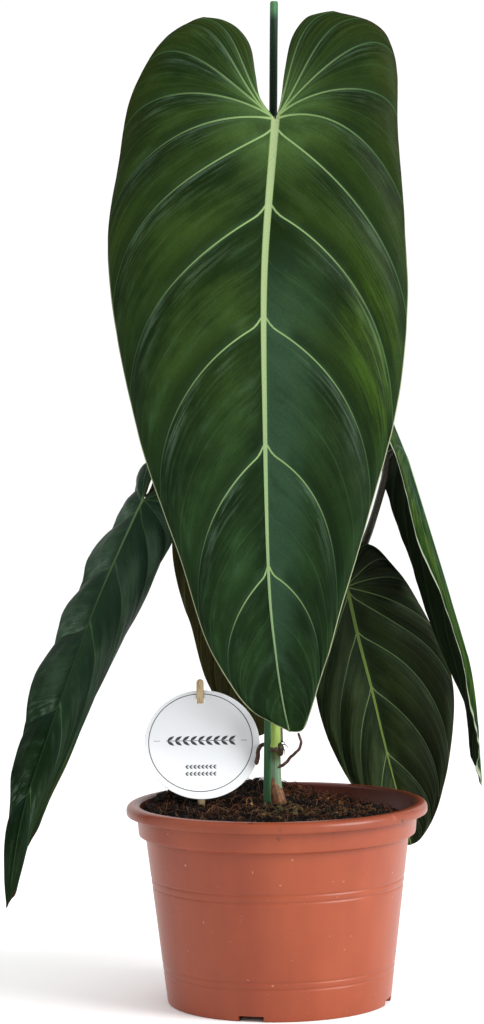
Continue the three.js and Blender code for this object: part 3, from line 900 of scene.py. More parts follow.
@dataclass(frozen=True)
class MixFinish:
    """Dark potting mix; the mark kind runs from wet peat through coir and bark to moss."""

    stops: Sequence[tuple[float, Colour]] = (
        (0.0, (0.0026, 0.0016, 0.0013)), (0.25, (0.0085, 0.0042, 0.003)), (0.45, (0.046, 0.016, 0.009)),
        (0.62, (0.15, 0.048, 0.016)), (0.8, (0.2, 0.105, 0.046)), (1.0, (0.075, 0.08, 0.025)),
    )

    def material(self, name: str) -> Material:
        """The finish as a Blender material.

        Args:
            name: The material's name.

        Returns:
            The finished material.
        """
        t = Tree(name)
        grain, patch = t.noise(520.0, None, 5.0, 0.7), t.noise(45.0, None, 3.0)
        kind = t.mark("kind") + (grain - 0.5) * 0.25
        light = patch.ease(0.4, 0.66) * 0.8 + kind.ease(0.52, 0.62) * 0.6
        base = t.tint(t.ramp(kind, self.stops), 0.18 + light)
        return t.close(base, 0.82, t.bump(grain, 0.0007, 0.9), Specular_IOR_Level=0.18)


@dataclass(frozen=True)
class CoatingFinish:
    """Green plastic drawn over the stake, with painted shade darkening its upper part short of the tip.
    """

    # Painted shade: the dark colour of the upper stake; the very tip is left lighter.
    top: Colour = (0.004, 0.011, 0.0062)
    green: Colour = (0.033, 0.098, 0.04)
    light: Colour = (0.062, 0.162, 0.074)
    scuff: Colour = (0.06, 0.12, 0.08)
    top_shade_from: Pair = (0.25, 0.52)
    tip_from: Pair = (0.6245, 0.616)

    def material(self, name: str) -> Material:
        """The finish as a Blender material.

        Args:
            name: The material's name.

        Returns:
            The finished material.
        """
        t = Tree(name)
        x, y, z = t.axes(t.place())
        drag = t.noise(40.0, t.vector(x * 6.0, y * 6.0, z * 0.6), 4.0)
        worn = t.noise(300.0, None, 4.0, 0.7)
        base = t.mix(drag.ease(0.3, 0.7), self.green, self.light)
        # Painted shade: darker up the stake, easing back at the tip.
        base = t.mix(z.ease(*self.top_shade_from) * z.ease(*self.tip_from) * 0.9, base, self.top)
        base = t.mix(worn.ease(0.66, 0.8) * 0.3, base, self.scuff)
        return t.close(base, 0.36 + 0.2 * worn, t.bump(drag, 0.0003, 0.4), Specular_IOR_Level=0.12)


@dataclass(frozen=True)
class CardFinish:
    """Smooth white card with a faint fibre."""

    white: Colour = (0.83, 0.85, 0.87)
    shade: Colour = (0.8, 0.82, 0.84)

    def material(self, name: str) -> Material:
        """The finish as a Blender material.

        Args:
            name: The material's name.

        Returns:
            The finished material.
        """
        t = Tree(name)
        fibre = t.noise(480.0, None, 4.0)
        base = t.mix(t.noise(30.0) * 0.6 + fibre * 0.3, self.white, self.shade)
        return t.close(base, 0.55 + 0.12 * fibre, t.bump(fibre, 0.00004, 0.4), Specular_IOR_Level=0.12)


@dataclass(frozen=True)
class InkFinish:
    """Dark grey print."""

    ink: Colour = (0.03, 0.032, 0.036)
    worn: Colour = (0.09, 0.095, 0.105)

    def material(self, name: str) -> Material:
        """The finish as a Blender material.

        Args:
            name: The material's name.

        Returns:
            The finished material.
        """
        t = Tree(name)
        wear = t.noise(900.0, None, 3.0)
        return t.close(t.mix(wear.ease(0.4, 0.8) * 0.4, self.ink, self.worn), 0.5)


@dataclass(frozen=True)
class WoodFinish:
    """Pale birch with lengthwise grain."""

    pale: Colour = (0.62, 0.47, 0.29)
    grain: Colour = (0.36, 0.23, 0.11)

    def material(self, name: str) -> Material:
        """The finish as a Blender material.

        Args:
            name: The material's name.

        Returns:
            The finished material.
        """
        t = Tree(name)
        x, y, z = t.axes(t.place())
        lines = t.noise(60.0, t.vector(x * 16.0, y * 16.0, z * 0.7), 5.0, 0.6)
        base = t.mix(lines.ease(0.42, 0.72), self.pale, self.grain)
        return t.close(base, 0.6 + 0.2 * lines, t.bump(lines, 0.0003, 0.5), Specular_IOR_Level=0.25)


@dataclass(frozen=True)
class FloorFinish:
    """Plain pale floor."""

    pale: Colour = (0.97, 0.97, 0.97)

    def material(self, name: str) -> Material:
        """The finish as a Blender material.

        Args:
            name: The material's name.

        Returns:
            The finished material.
        """
        t = Tree(name)
        base = t.mix(t.noise(6.0, None, 2.0), self.pale, tuple(0.99 * c for c in self.pale))
        return t.close(base, 0.8, Specular_IOR_Level=0.1)


# Blades


class Side(IntEnum):
    """Which half of a blade, as seen from its face with the tip down."""

    LEFT = -1
    RIGHT = 1

    @property
    def index(self) -> int:
        """Its place in a pair of halves."""
        return 0 if self is Side.LEFT else 1


@dataclass(frozen=True)
class Outline:
    """One half of a blade laid flat, in hundredths of its length.

    Attributes:
        sinus: Points from the junction to the lobe's top, out and on towards the tip.
        margin: Points from there to the tip.
        ends: Where each vein ends, in hundredths of the margin's length.
        angles: How each vein leaves the midrib, in degrees from the tip's side.
    """

    sinus: Rows
    margin: Rows
    ends: Sequence[float]
    angles: Sequence[float]


FRONT_LEFT = Outline(
    sinus=[[0, 0], [2.6, -3.1], [3.6, -6.7], [4.7, -11.1], [6.7, -13.7], [9.3, -15], [12.4, -15.3]],
    margin=[[12.4, -15.3], [16.1, -13.7], [18.7, -11.4], [21, -7.5], [23.6, -0.8], [24.6, 9],
            [25.1, 19.4], [23.4, 35], [19.3, 52.3], [13.7, 70], [10.5, 82.6], [7.7, 89.6], [5.2, 94.4],
            [2.6, 96.8], [0, 99.2]],
    ends=[0, 0.8, 3, 9.6, 19, 31, 41, 53, 67, 82, 91, 96, 100],
    angles=[130, 126, 120, 122, 118, 92, 55, 53, 62, 51, 46, 45, 45],
)
FRONT_RIGHT = Outline(
    sinus=[[0, 0], [0.6, -3.1], [0.9, -8], [1.6, -13], [3.4, -16.1], [5.4, -17.1], [7.8, -17.6]],
    margin=[[7.8, -17.6], [11.4, -17.1], [14.5, -16.1], [16.8, -14], [18.7, -8.8], [19.4, 1.3],
            [21.7, 15.5], [23, 27.2], [22, 40.2], [18.8, 54.8], [13.9, 70.6], [9.3, 84.1], [6.2, 91.8],
            [3.7, 97.1], [2, 99.4], [0, 99.2]],
    ends=[0, 0.4, 4, 10, 17.5, 28.5, 44, 58, 69, 84, 92, 96.5, 100],
    angles=[165, 161, 147, 144, 140, 112, 57, 66, 61, 62, 60, 50, 40],
)
SLIM_HALF = Outline(
    sinus=[[0, 0], [1.8, -3], [2.6, -7.5], [4, -12], [6.5, -14.8], [9.5, -15.8]],
    margin=[[9.5, -15.8], [14, -14], [17.6, -9], [19.8, -1], [20.6, 10], [20.4, 24], [18.4, 40],
            [13.8, 56], [8.8, 71], [5, 84], [2.4, 94], [0, 100]],
    ends=[0, 2, 9, 18, 33, 50, 70, 84, 92, 97, 100],
    angles=[156, 148, 132, 106, 66, 44, 48, 44, 38, 36, 34],
)
BROAD_HALF = Outline(
    sinus=[[0, 0], [1.8, -3], [2.6, -7], [4, -11], [6.4, -14], [9.5, -14.6]],
    margin=[[9.5, -14.6], [13.4, -11.2], [16.4, -6], [20.2, 2], [23.4, 12], [26.4, 24], [28.6, 38],
            [28.4, 50], [26.4, 60], [22.6, 71], [16.6, 83], [9.4, 94], [3.4, 99], [0, 100]],
    ends=[0, 2, 9, 18, 34, 52, 74, 86, 93, 97, 100],
    angles=[156, 148, 131, 103, 62, 42, 48, 42, 36, 34, 34],
)
QUILTED_HALF = Outline(
    sinus=SLIM_HALF.sinus,
    margin=SLIM_HALF.margin,
    ends=[0, 1.5, 5, 11, 18, 28, 39, 51, 67, 84, 100],
    angles=[156, 148, 132, 112, 84, 66, 62, 60, 54, 46, 34],
)
# Where veins start on the midrib, in hundredths of the blade's length.
FRONT_STARTS = (0, 0, 0, 0, 0, 0, 1.8, 15, 33.2, 53.4, 72.8, 86, 99.2)
COMMON_STARTS = (0, 0, 0, 0, 0, 3, 19, 41, 66, 84, 100)
LEFT_STARTS = (0, 0, 0, 0, 0, 3, 17, 32, 52, 73, 100)
# How far a vein's bow is drawn out at its start and its end, as shares of its span.
VEIN_PULL = (0.38, 0.36)
# How far a vein leans in from the margin where it ends.
VEIN_LEAN = math.radians(12)
# How far a vein runs down the rib before it leaves, and over what reach it lets go.
VEIN_RUN = (1.2, 0.028)
# Where the run sets in below the junction, and where it fades before the tip.
VEIN_RUN_IN, VEIN_RUN_OUT = (0.8, 3), (80, 97)
# Minor veins, as shares of the way from one side vein to the next.
MINOR_PLACES = (0.24, 0.5, 0.76)


class Half:
    """One half of a blade, laid flat: places on it by phase and reach."""

    def __init__(self, outline: Outline, starts: Sequence[float]) -> None:
        """Takes the outline and where the veins start on the midrib.

        Args:
            outline: The half's outline.
            starts: Where its veins start, in hundredths.
        """
        self.sinus = Curve(outline.sinus, Ends.HELD)
        self.margin = Curve(outline.margin, Ends.HELD)
        rows = [[s, e / 100, a] for s, e, a in zip(starts, outline.ends, outline.angles)]
        self.veins = Curve(rows)
        self.last = len(starts) - 1

    def starts(self, phase: Array) -> Array:
        """Where veins start on the midrib, in hundredths."""
        return np.maximum(self.veins.by_share(phase / self.last)[:, 0], 0)

    def at(self, phase: Array, reach: Array) -> Array:
        """The flat points, out from the midrib and on towards the tip, in hundredths.

        Args:
            phase: Vein counts.
            reach: Shares of the way along each vein.

        Returns:
            One point a row.
        """
        row = self.veins.by_share(phase / self.last)
        end, heading = np.clip(row[:, 1], 0, 1), np.radians(row[:, 2])
        start = np.stack([np.zeros(len(row)), np.maximum(row[:, 0], 0)], 1)
        stop = self.margin.at(end)
        span = np.linalg.norm(stop - start, axis=1)[:, None]
        c, s = math.cos(-VEIN_LEAN), math.sin(-VEIN_LEAN)
        run = self.margin.tangent(end) @ np.array([[c, s], [-s, c]])
        leave = np.stack([np.sin(heading), np.cos(heading)], 1)
        first, second = start + leave * VEIN_PULL[0] * span, stop - run * VEIN_PULL[1] * span
        r = reach[:, None]
        bow = (1 - r) ** 3 * start + 3 * (1 - r) ** 2 * r * first
        bow = bow + 3 * (1 - r) * r**2 * second + r**3 * stop
        beside = smooth(*VEIN_RUN_IN, row[:, 0]) * (1 - smooth(*VEIN_RUN_OUT, row[:, 0]))
        bow[:, 1] -= VEIN_RUN[0] * np.exp(-((reach / VEIN_RUN[1]) ** 2)) * beside
        share = smooth(0, 1, phase)[:, None]
        return np.where(phase[:, None] >= 1, bow, self.sinus.at(reach) * (1 - share) + bow * share)


@dataclass
class Leaf:
    """A hanging blade on its petiole.

    Attributes:
        width: Stretches the left and the right half.
        spine: The midrib's course, from the junction to the tip.
        face: Which way the upper side looks at the junction and at the tip.
        fold: How far each half folds back from the midrib at the base and the tip.
        curl: How many degrees each half turns over 100 mm outwards.
        lobe_lift: How far the lobes' tops stand off the line of the midrib.
        quilt: Height of the swells between veins, scaled for each half by puff.
        rib: Depth of the keel below the midrib.
        petiole_depth: How far behind the junction the petiole ends, rising at petiole_rise.
        rib_face: The pale midrib's half width at the base, over what the tip has;
            vein_face is the same for a side vein.
    """

    name: str
    starts: Sequence[float]
    halves: tuple[Outline, Outline]
    width: Pair
    spine: Rows
    face: tuple[Sequence[float], Sequence[float]]
    fold: tuple[Pair, Pair]
    curl: Pair
    lobe_lift: float
    quilt: float
    wave: float
    rib: float
    petiole_radius: Pair
    petiole_depth: float
    petiole_rise: float
    petiole_path: Rows
    puff: Pair = (1.5, 1.5)
    rows_per_vein: int = 16
    columns: int = 44
    thickness: float = 0.9
    edge_thickness: float = 0.45
    rib_width: float = 5.0
    rib_face: Pair = (2.3, 0.55)
    vein_face: Pair = (0.46, 0.27)
    vein_keel: float = 0.55
    vein_groove: float = 0.4
    minor_groove: float = 0.12
    crown: float = 0.7
    seed: int = 1
    slot: str = "leaf"

    def __post_init__(self) -> None:
        """Lays out the spine and the halves."""
        self.curve = Curve(self.spine)
        self.length = self.curve.length
        self.sides = [Half(outline, self.starts) for outline in self.halves]
        self.last = len(self.starts) - 1
        self.faces = [unit(f) for f in self.face]
        self.widest = max(float(self.gap(half, np.array([self.last - 4.0]))[0]) for half in self.sides)

    def gap(self, half: Half, vein: Array) -> Array:
        """How far apart neighbouring veins run, in hundredths.

        Args:
            half: The half.
            vein: Whole counts of veins.

        Returns:
            One distance a vein.
        """
        reach = np.full(len(vein), 0.6)
        step = half.at(vein, reach) - half.at(np.minimum(vein + 1, self.last), reach)
        return np.linalg.norm(step, axis=1)

    def frame(self, v: Array) -> tuple[Array, ...]:
        """The spine's place and directions at distances from the junction.

        Args:
            v: Distances in millimetres; below zero is in the lobes.

        Returns:
            Place, direction along, face, direction across, and share of the length.
        """
        share = np.clip(v / self.length, 0, 1)
        place, along = self.curve.at(share), self.curve.tangent(share)
        face = self.faces[0] * (1 - share[:, None]) + self.faces[1] * share[:, None]
        face = face - along * np.sum(face * along, 1)[:, None]
        face /= np.linalg.norm(face, axis=1)[:, None]
        back = np.minimum(v, 0)[:, None]
        place = place + along * back + face * self.lobe_lift * (back / (0.16 * self.length)) ** 2
        return place, along, face, np.cross(face, along), share

    def sheet(self, side: Side) -> dict[str, Array]:
        """One half of the blade as a grid, with the numbers that its finish reads.

        Args:
            side: The half.

        Returns:
            Arrays of a row a point: place, normal and the marks.
        """
        k = side.index
        half, rows, columns = self.sides[k], self.rows_per_vein * self.last, self.columns
        i, j = np.meshgrid(np.arange(rows + 1), np.arange(columns + 1), indexing="ij")
        phase, reach = (i / self.rows_per_vein).ravel(), (j / columns).ravel()
        flat = half.at(phase, reach) * self.length / 100
        place, along, face, across, share = self.frame(flat[:, 1])
        u = flat[:, 0] * self.width[k]
        base, tip = self.fold[k]
        fold = np.radians(base * (1 - share) + tip * share)
        curl = math.radians(self.curl[k]) / 100
        turn = fold + curl * u
        normal = face * np.cos(turn)[:, None] + across * (side * np.sin(turn))[:, None]
        place = place + across * (side * (np.sin(turn) - np.sin(fold)) / curl)[:, None]
        place = place + face * ((np.cos(turn) - np.cos(fold)) / curl)[:, None]
        marks = self.marks(flat * [self.width[k], 1], phase, reach, (rows + 1, columns + 1))
        marks["side"] = np.full(len(phase), float(side))
        place = place + normal * self.relief(side, phase, reach, flat, marks)[:, None]
        rim = np.exp(-((u / self.rib_width) ** 2))
        taper = np.minimum(1, 0.25 + 1.2 * (1 - share)) * smooth(0, 0.05, share)
        ridges = self.vein_keel * np.exp(-((marks["broad"] / 1.1) ** 2)) * smooth(0, 0.1, reach)
        marks["keel"] = self.rib * rim * taper + ridges
        return {"place": place, "normal": normal, **marks}

    def relief(self, side: Side, phase: Array, reach: Array, flat: Array,
               marks: dict[str, Array]) -> Array:
        """How far the skin stands off the plain blade: quilting, waves and vein grooves.

        Args:
            side: The half.
            phase: Vein counts.
            reach: Shares along the veins.
            flat: Points laid flat in millimetres.
            marks: Distances from the veins.

        Returns:
            One height in millimetres a point.
        """
        vein = np.minimum(np.floor(phase), self.last - 1)
        arch = np.sin(math.pi * (phase - vein))
        spread = np.minimum(1, self.gap(self.sides[side.index], vein) / self.widest)
        swell = (0.4 * arch ** 2 + 0.6 * np.abs(arch) ** 0.7) * self.puff[side.index]
        window = smooth(0, 0.35, reach) * (1 - smooth(0.78, 1, reach))
        ripple = np.sin(math.pi * (0.9 * phase + side * 0.35)) * reach**3 * smooth(0, 2, phase)
        ease = 1 - smooth(self.last - 1.5, self.last, phase)
        height = (self.quilt * swell * spread * window + self.wave * ripple) * ease
        along = np.stack([phase * 14.0 + 31 * side, reach * 22.0], 1)
        broad, fine = ripples(along, 9.0, self.seed), ripples(along * [1.0, 0.35], 3.4, self.seed + 7)
        calm = smooth(0.04, 0.3, reach) * ease * spread * (1 - 0.3 * smooth(0.8, 1, reach))
        height += (broad * 0.55 + fine * 0.3) * calm
        groove = np.exp(-((marks["vein"] / 1.2) ** 2)) * smooth(0.02, 0.12, reach)
        groove = groove * (1 - smooth(0.9, 1, reach))
        shallow = np.exp(-((marks["minor"] / 1.3) ** 2)) * smooth(0.08, 0.3, reach) * ease
        crown = self.crown * np.clip(1 - marks["rib"] ** 2, 0, 1) ** 0.5
        crown = crown * smooth(0, 0.03, flat[:, 1] / self.length)
        return height - self.vein_groove * groove - self.minor_groove * shallow + crown

    def marks(self, flat: Array, phase: Array, reach: Array, shape: tuple[int, int]) -> dict[str, Array]:
        """Distances from veins, rib and edge at each point of a half.

        Args:
            flat: Points laid flat in millimetres.
            phase: Vein counts.
            reach: Shares along the veins.
            shape: Rows and columns of the grid.

        Returns:
            The marks phase, reach, vein, broad, minor, rib and edge.
        """
        grid = flat.reshape(*shape, 2)
        down = np.gradient(grid, 1 / self.rows_per_vein, axis=0)
        out = np.gradient(grid, 1 / self.columns, axis=1)
        area = np.abs(down[..., 0] * out[..., 1] - down[..., 1] * out[..., 0])
        across = (area / np.maximum(np.linalg.norm(out, axis=2), 1e-6)).ravel()
        inward = (area / np.maximum(np.linalg.norm(down, axis=2), 1e-6)).ravel()
        near = np.clip(np.round(phase), 1, self.last - 1)
        distance = np.abs(phase - near) * across
        thick = self.vein_face[0] * (1 - reach) ** 0.7 + self.vein_face[1]
        thick = thick * np.clip(0.55 + 0.45 * (self.last - phase) / self.last, 0.5, 1)
        thick = thick * (1 + 0.3 * np.exp(-((reach / 0.04) ** 2)))
        fraction = phase - np.floor(phase)
        small = np.min(np.abs(fraction[:, None] - np.array(MINOR_PLACES)), axis=1) * across
        along = np.clip(flat[:, 1] / self.length, 0, 1)
        width = self.rib_face[0] * (1 - along) ** 1.35 + self.rib_face[1]
        neck = smooth(-0.035, 0.0, flat[:, 1] / self.length)
        edge = np.minimum((1 - reach) * inward, phase * across + 40 * smooth(1.0, 2.0, phase))
        return {
            "phase": phase, "reach": reach, "vein": np.minimum(distance / thick, 9),
            "broad": np.minimum(distance, 40), "minor": np.minimum(small / 0.45, 9),
            "rib": np.minimum(flat[:, 0] / (width * (0.25 + 0.75 * neck)), 9),
            "edge": np.minimum(edge, 40),
        }

    def blade(self) -> MeshData:
        """The whole blade as a closed thin solid with its marks.

        Returns:
            The closed mesh.
        """
        sheets = [self.sheet(side) for side in Side]
        rows, columns = self.rows_per_vein * self.last + 1, self.columns + 1
        ids = np.arange(2 * rows * columns).reshape(2, rows, columns)
        ids[1, :, 0] = ids[0, :, 0]
        phase = np.arange(rows) / self.rows_per_vein
        ids[:, self.sides[0].starts(phase) < 1e-3, 0] = ids[0, 0, 0]
        ids[:, -1, :] = ids[0, -1, 0]
        kept, inverse = np.unique(ids, return_inverse=True)
        ids = inverse.reshape(2, rows, columns)
        data = {k: np.concatenate([s[k] for s in sheets])[kept] for k in sheets[0]}
        a, b, c, d = ids[:, :-1, :-1], ids[:, 1:, :-1], ids[:, 1:, 1:], ids[:, :-1, 1:]
        triangles = np.concatenate([np.stack([a, b, c], -1), np.stack([a, c, d], -1)], axis=2)
        triangles[0] = triangles[0][..., ::-1]
        t = triangles.reshape(-1, 3)
        t = t[(t[:, 0] != t[:, 1]) & (t[:, 1] != t[:, 2]) & (t[:, 2] != t[:, 0])]
        count = len(kept)
        directed = np.concatenate([t[:, [0, 1]], t[:, [1, 2]], t[:, [2, 0]]])
        keys, back = directed @ [count, 1], directed @ [1, count]
        rim = directed[~np.isin(keys, back)]
        ease = smooth(0, 4, data["edge"])
        half = (self.edge_thickness + (self.thickness - self.edge_thickness) * ease)[:, None] / 2
        top = data["place"] + data["normal"] * half
        under = data["place"] - data["normal"] * (half + data["keel"][:, None] * ease[:, None] ** 0.5)
        faces = t.tolist() + (t[:, ::-1] + count).tolist()
        faces += np.stack([rim[:, 0], rim[:, 0] + count, rim[:, 1] + count, rim[:, 1]], 1).tolist()
        names = ("phase", "reach", "vein", "broad", "minor", "rib", "edge", "side")
        marks = {k: np.tile(data[k], 2) for k in names}
        marks["under"] = np.concatenate([np.zeros(count), np.ones(count)])
        return MeshData(np.vstack([top, under]), faces, marks)

    def stalk(self) -> MeshData:
        """The petiole, from the stem to the back of the junction.

        Returns:
            The closed tube.
        """
        place, along, face, _, _ = self.frame(np.array([0.0]))
        rise = math.radians(self.petiole_rise)
        back = -face[0] * math.cos(rise) - along[0] * math.sin(rise)
        ends = [place[0] + back * (self.petiole_depth + 8), place[0] + back * self.petiole_depth]
        route = Curve([*self.petiole_path, *ends])
        first, last = self.petiole_radius

        def radius(share: Array) -> Array:
            """Tapers along the stalk."""
            return first + (last - first) * share

        def shape(share: Array, turn: Array) -> Array:
            """Shallow grooves and a slow swell."""
            return 0.1 * np.cos(5 * turn + 3 * share) + 0.08 * np.sin(23 * share)

        return tube(route, radius, 90, 20, shape)

    def build(self, skin: Material, stalk: Material) -> None:
        """Makes the blade and its petiole.

        Args:
            skin: The blade's finish.
            stalk: The petiole's finish.
        """
        self.blade().piece(f"blade_{self.name}", skin, self.slot, f"leaf_{self.name}")
        self.stalk().piece(f"stalk_{self.name}", stalk, "petiole", f"petiole_{self.name}")


def all_leaves() -> list[Leaf]:
    """The five leaves with their sizes.

    Returns:
        The leaves, the front one first.
    """
    return [
        Leaf(name="front", starts=FRONT_STARTS, halves=(FRONT_LEFT, FRONT_RIGHT), width=(1.03, 1.03),
             spine=[[4.6, -26, 553], [-3.6, -46, 460], [-4.7, -55, 366], [-3.6, -50, 271],
                    [0.2, -43, 223], [4.4, -38.5, 192], [8.6, -34, 171.5]],
             face=([0, -1, 0.1], [0, -1, -0.1]), fold=((-14, -8), (-14, -8)), curl=(42, 42), lobe_lift=6,
             quilt=2.4, wave=1.2, rib=2.6, rows_per_vein=20, columns=64, seed=3,
             petiole_radius=(3, 2.8), petiole_depth=0.95, petiole_rise=0,
             petiole_path=[[2.8, -3, 266.4], [3.4, -3.6, 300], [3.4, -3.4, 380], [3.8, -3.4, 470],
                           [4.2, -5, 522], [4.4, -9.5, 543]]),
        Leaf(name="left", starts=LEFT_STARTS, halves=(QUILTED_HALF, SLIM_HALF), width=(0.7, 1.17),
             spine=[[-81.5, 5, 318.2], [-105.8, 0, 265.9], [-120.7, -4, 229.8], [-140.5, -10, 177.4],
                    [-159.3, -15, 122.5], [-170.4, -18, 63.8]],
             face=([-0.11, -1, 0.6], [0.28, -1, 0.6]), fold=((50, 33), (46, 49)), curl=(56, 109),
             lobe_lift=-4, quilt=2.6, wave=2.4, rib=2, seed=11, rib_face=(0.75, 0.25),
             vein_face=(0.35, 0.25), puff=(2.4, 0.5),
             petiole_radius=(2.8, 1.3), petiole_depth=3.6, petiole_rise=45,
             petiole_path=[[-5.7, -4.7, 201], [-13, 7, 240], [-20, 21, 290], [-29, 32, 338],
                           [-41, 35, 366], [-54, 30, 369], [-64, 23, 354]]),
        Leaf(name="right", starts=COMMON_STARTS, halves=(SLIM_HALF, SLIM_HALF), width=(0.92, 0.92),
             spine=[[83.4, 12, 346.5], [98, 12, 297], [111, 10, 252], [124.4, 8, 199],
                    [129.4, 6, 133.5]],
             face=([1, -0.08, 0.25], [1, -0.08, 0.15]), fold=((6, 4), (21, 36)), curl=(10, 18),
             lobe_lift=-3, quilt=1.6, wave=1.6, rib=2, seed=17, rib_face=(0.6, 0.4),
             vein_face=(0.3, 0.2), puff=(1.4, 1.4),
             petiole_radius=(3.1, 2.2), petiole_depth=1.7, petiole_rise=0,
             petiole_path=[[1.4, 2.8, 184], [7, 13, 200], [11, 32, 220], [17, 50, 237], [32, 62, 249],
                           [51, 63, 269], [61.5, 50, 291], [71, 28, 325]]),
        Leaf(name="low_right", starts=COMMON_STARTS, halves=(BROAD_HALF, BROAD_HALF), width=(0.7, 0.98),
             spine=[[47.3, 46, 258], [55, 62, 222.4], [63.7, 76, 188], [74.3, 89, 142],
                    [89.2, 93, 82.8]],
             face=([0.1, -1, 0.35], [0.2, -1, 0.1]), fold=((-10, -6), (-15, -16)), curl=(31, 24),
             lobe_lift=-3, quilt=2.2, wave=1.6, rib=2, seed=23, rib_face=(0.8, 0.5),
             vein_face=(0.25, 0.2), puff=(1.6, 1.3),
             petiole_radius=(2.5, 2.2), petiole_depth=1, petiole_rise=0,
             petiole_path=[[2, 2.2, 163.5], [1, 20, 203], [0, 40, 236], [10, 53, 256], [30, 59, 262]]),
        Leaf(name="back", starts=COMMON_STARTS, halves=(BROAD_HALF, BROAD_HALF), width=(0.9, 0.84),
             spine=[[-20.5, 60, 333], [-25.5, 69, 289], [-14.5, 73, 244], [-15.4, 69, 200],
                    [-10.6, 56, 161]],
             face=([0, 1, 0.2], [0, 1, 0.1]), fold=((4, 6), (-4, 1)), curl=(20, 8), lobe_lift=-2,
             quilt=2, wave=1.6, rib=2, seed=29, rib_face=(0.6, 0.4), vein_face=(0.3, 0.2),
             petiole_radius=(2.8, 2.3), petiole_depth=1.15, petiole_rise=0, slot="leaf_underside",
             petiole_path=[[6.2, -0.2, 221], [8, 9, 245], [4, 24, 285], [-10, 38, 317]]),
    ]


# Pot, soil and what stands in it


@dataclass
class Pot:
    """The moulded nursery pot.

    Attributes:
        collar: Radius and height round the step between body and rim.
        bend: Height and radius where the inner wall steps out; lip is the same at the rim.
        underside: How high the floor stands over the ground; floor is its thickness.
        pad: Radius of the flat pad in the middle of the underside.
        notch: Width and height of a notch in the foot ring, which is ring_width wide.
        drain: Radius of a drain hole, and how far out it is.
    """

    height: float = 126.2
    rim_radius: float = 95.0
    body_top: float = 83.1
    foot_radius: float = 70.6
    collar_z: float = 105.4
    collar: Sequence[Pair] = (
        (83.0, 105.2), (83.3, 105.6), (86.6, 106.5), (87.2, 106.9), (87.45, 107.6), (87.6, 109.5),
        (88.0, 114.0), (88.3, 117.6), (88.35, 118.4), (93.8, 119.3), (94.6, 119.7), (94.9, 120.3),
    )
    bend: Pair = (106.0, 81.5)
    lip: Pair = (118.5, 86.2)
    nose: Pair = (4.2, 3.6)
    wall: float = 2.2
    ring_width: float = 5.0
    underside: float = 4.0
    floor: float = 2.5
    pad: float = 17.0
    notch: Pair = (16.0, 3.6)
    notch_first: float = -15.0
    notches: int = 4
    drain: Pair = (4.5, 42.0)
    drains: int = 6
    grooves: tuple[float, ...] = (79.4, 74.8, 24.6, 20.2)
    groove_depth: float = 0.45
    sides: int = 180

    def inside(self, z: float) -> float:
        """The inner wall's radius at a height.

        Args:
            z: A height in millimetres.

        Returns:
            A radius in millimetres.
        """
        level, radius = self.bend
        share = min((z - self.underside) / (level - self.underside), 1)
        if z <= level:
            return self.foot_radius + (self.body_top - self.foot_radius) * share - self.wall
        return radius + (self.lip[1] - radius) * min((z - level) / (self.lip[0] - level), 1)

    def outside(self, z: float) -> float:
        """The body's outer radius at a height, with its faint grooves.

        Args:
            z: A height in millimetres.

        Returns:
            A radius in millimetres.
        """
        share = z / self.collar_z
        line = sum(math.exp(-(((z - g) / 0.75) ** 2)) for g in self.grooves)
        return self.foot_radius + (self.body_top - self.foot_radius) * share - self.groove_depth * line

    def profile(self) -> list[list[float]]:
        """The section from the middle of the underside round to the middle of the floor.

        Returns:
            Rows of radius and height.
        """
        ring, top, level = self.foot_radius - self.ring_width, self.height, self.bend[0]
        body = [[self.outside(z), z] for z in np.concatenate([
            np.linspace(1.2, 18, 8), np.linspace(18.5, 26.5, 24), np.linspace(30, 70, 9),
            np.linspace(72.5, 81.5, 26), np.linspace(84, self.collar_z - 1.4, 8)])]
        wide, tall = self.nose
        nose = [[self.rim_radius - wide + wide * math.cos(a), top - tall + tall * math.sin(a)]
                for a in np.linspace(0, math.pi / 2, 9)]
        return [
            [0, 0], [self.pad - 0.6, 0], [self.pad, 0.4], [self.pad + 1.5, self.underside],
            [ring - 1.5, self.underside], [ring, 0.5], [ring + 0.5, 0], [self.foot_radius - 0.8, 0],
            [self.foot_radius - 0.1, 0.4], *body, [self.body_top - 0.1, self.collar_z - 0.6],
            *self.collar, [self.rim_radius, top - 4.9], *nose, [self.rim_radius - 6.0, top],
            [self.rim_radius - 7.2, top - 0.4], [self.lip[1] + 0.5, top - 1.6],
            [self.lip[1], self.lip[0]],
            [self.inside(level + 0.1), level + 0.1], [self.inside(level - 1), level - 1],
            [self.inside(self.underside + self.floor), self.underside + self.floor],
            [0, self.underside + self.floor],
        ]

    def build(self, material: Material) -> None:
        """Makes the pot and cuts its notches and drain holes.

        Args:
            material: Its finish.
        """
        pot = lathe(self.profile(), self.sides).piece("pot_body", material, "pot_plastic", "pot")
        ring = Matrix.Translation((0, -(self.foot_radius - self.ring_width / 2), 0))
        wide, tall = self.notch
        cutters = []
        for i in range(self.notches):
            turn = Matrix.Rotation(math.radians(self.notch_first + 360 / self.notches * i), 4, "Z")
            cutters.append(block((wide, 4 * self.ring_width, 2 * tall), turn @ ring))
        radius, out = self.drain
        for i in range(self.drains):
            a = 2 * math.pi * i / self.drains
            hole = lathe([[0, -3], [radius, -3], [radius, 12], [0, 12]], 24)
            hole.points = hole.points + [out * math.cos(a), out * math.sin(a), 0]
            cutters.append(linked("cutter", hole.bare("cutter")))
        cut(pot, cutters, crisp=24)


@dataclass(frozen=True)
class Heap:
    """A smooth heap on the bed, or a hollow where its rise is negative.

    Attributes:
        wide: The square of its spread along x; deep is the same along y.
    """

    rise: float
    x: float
    y: float
    wide: float
    deep: float

    def at(self, x: Array, y: Array) -> Array:
        """Its height at places on the bed."""
        return self.rise * np.exp(-((x - self.x) ** 2) / self.wide - (y - self.y) ** 2 / self.deep)


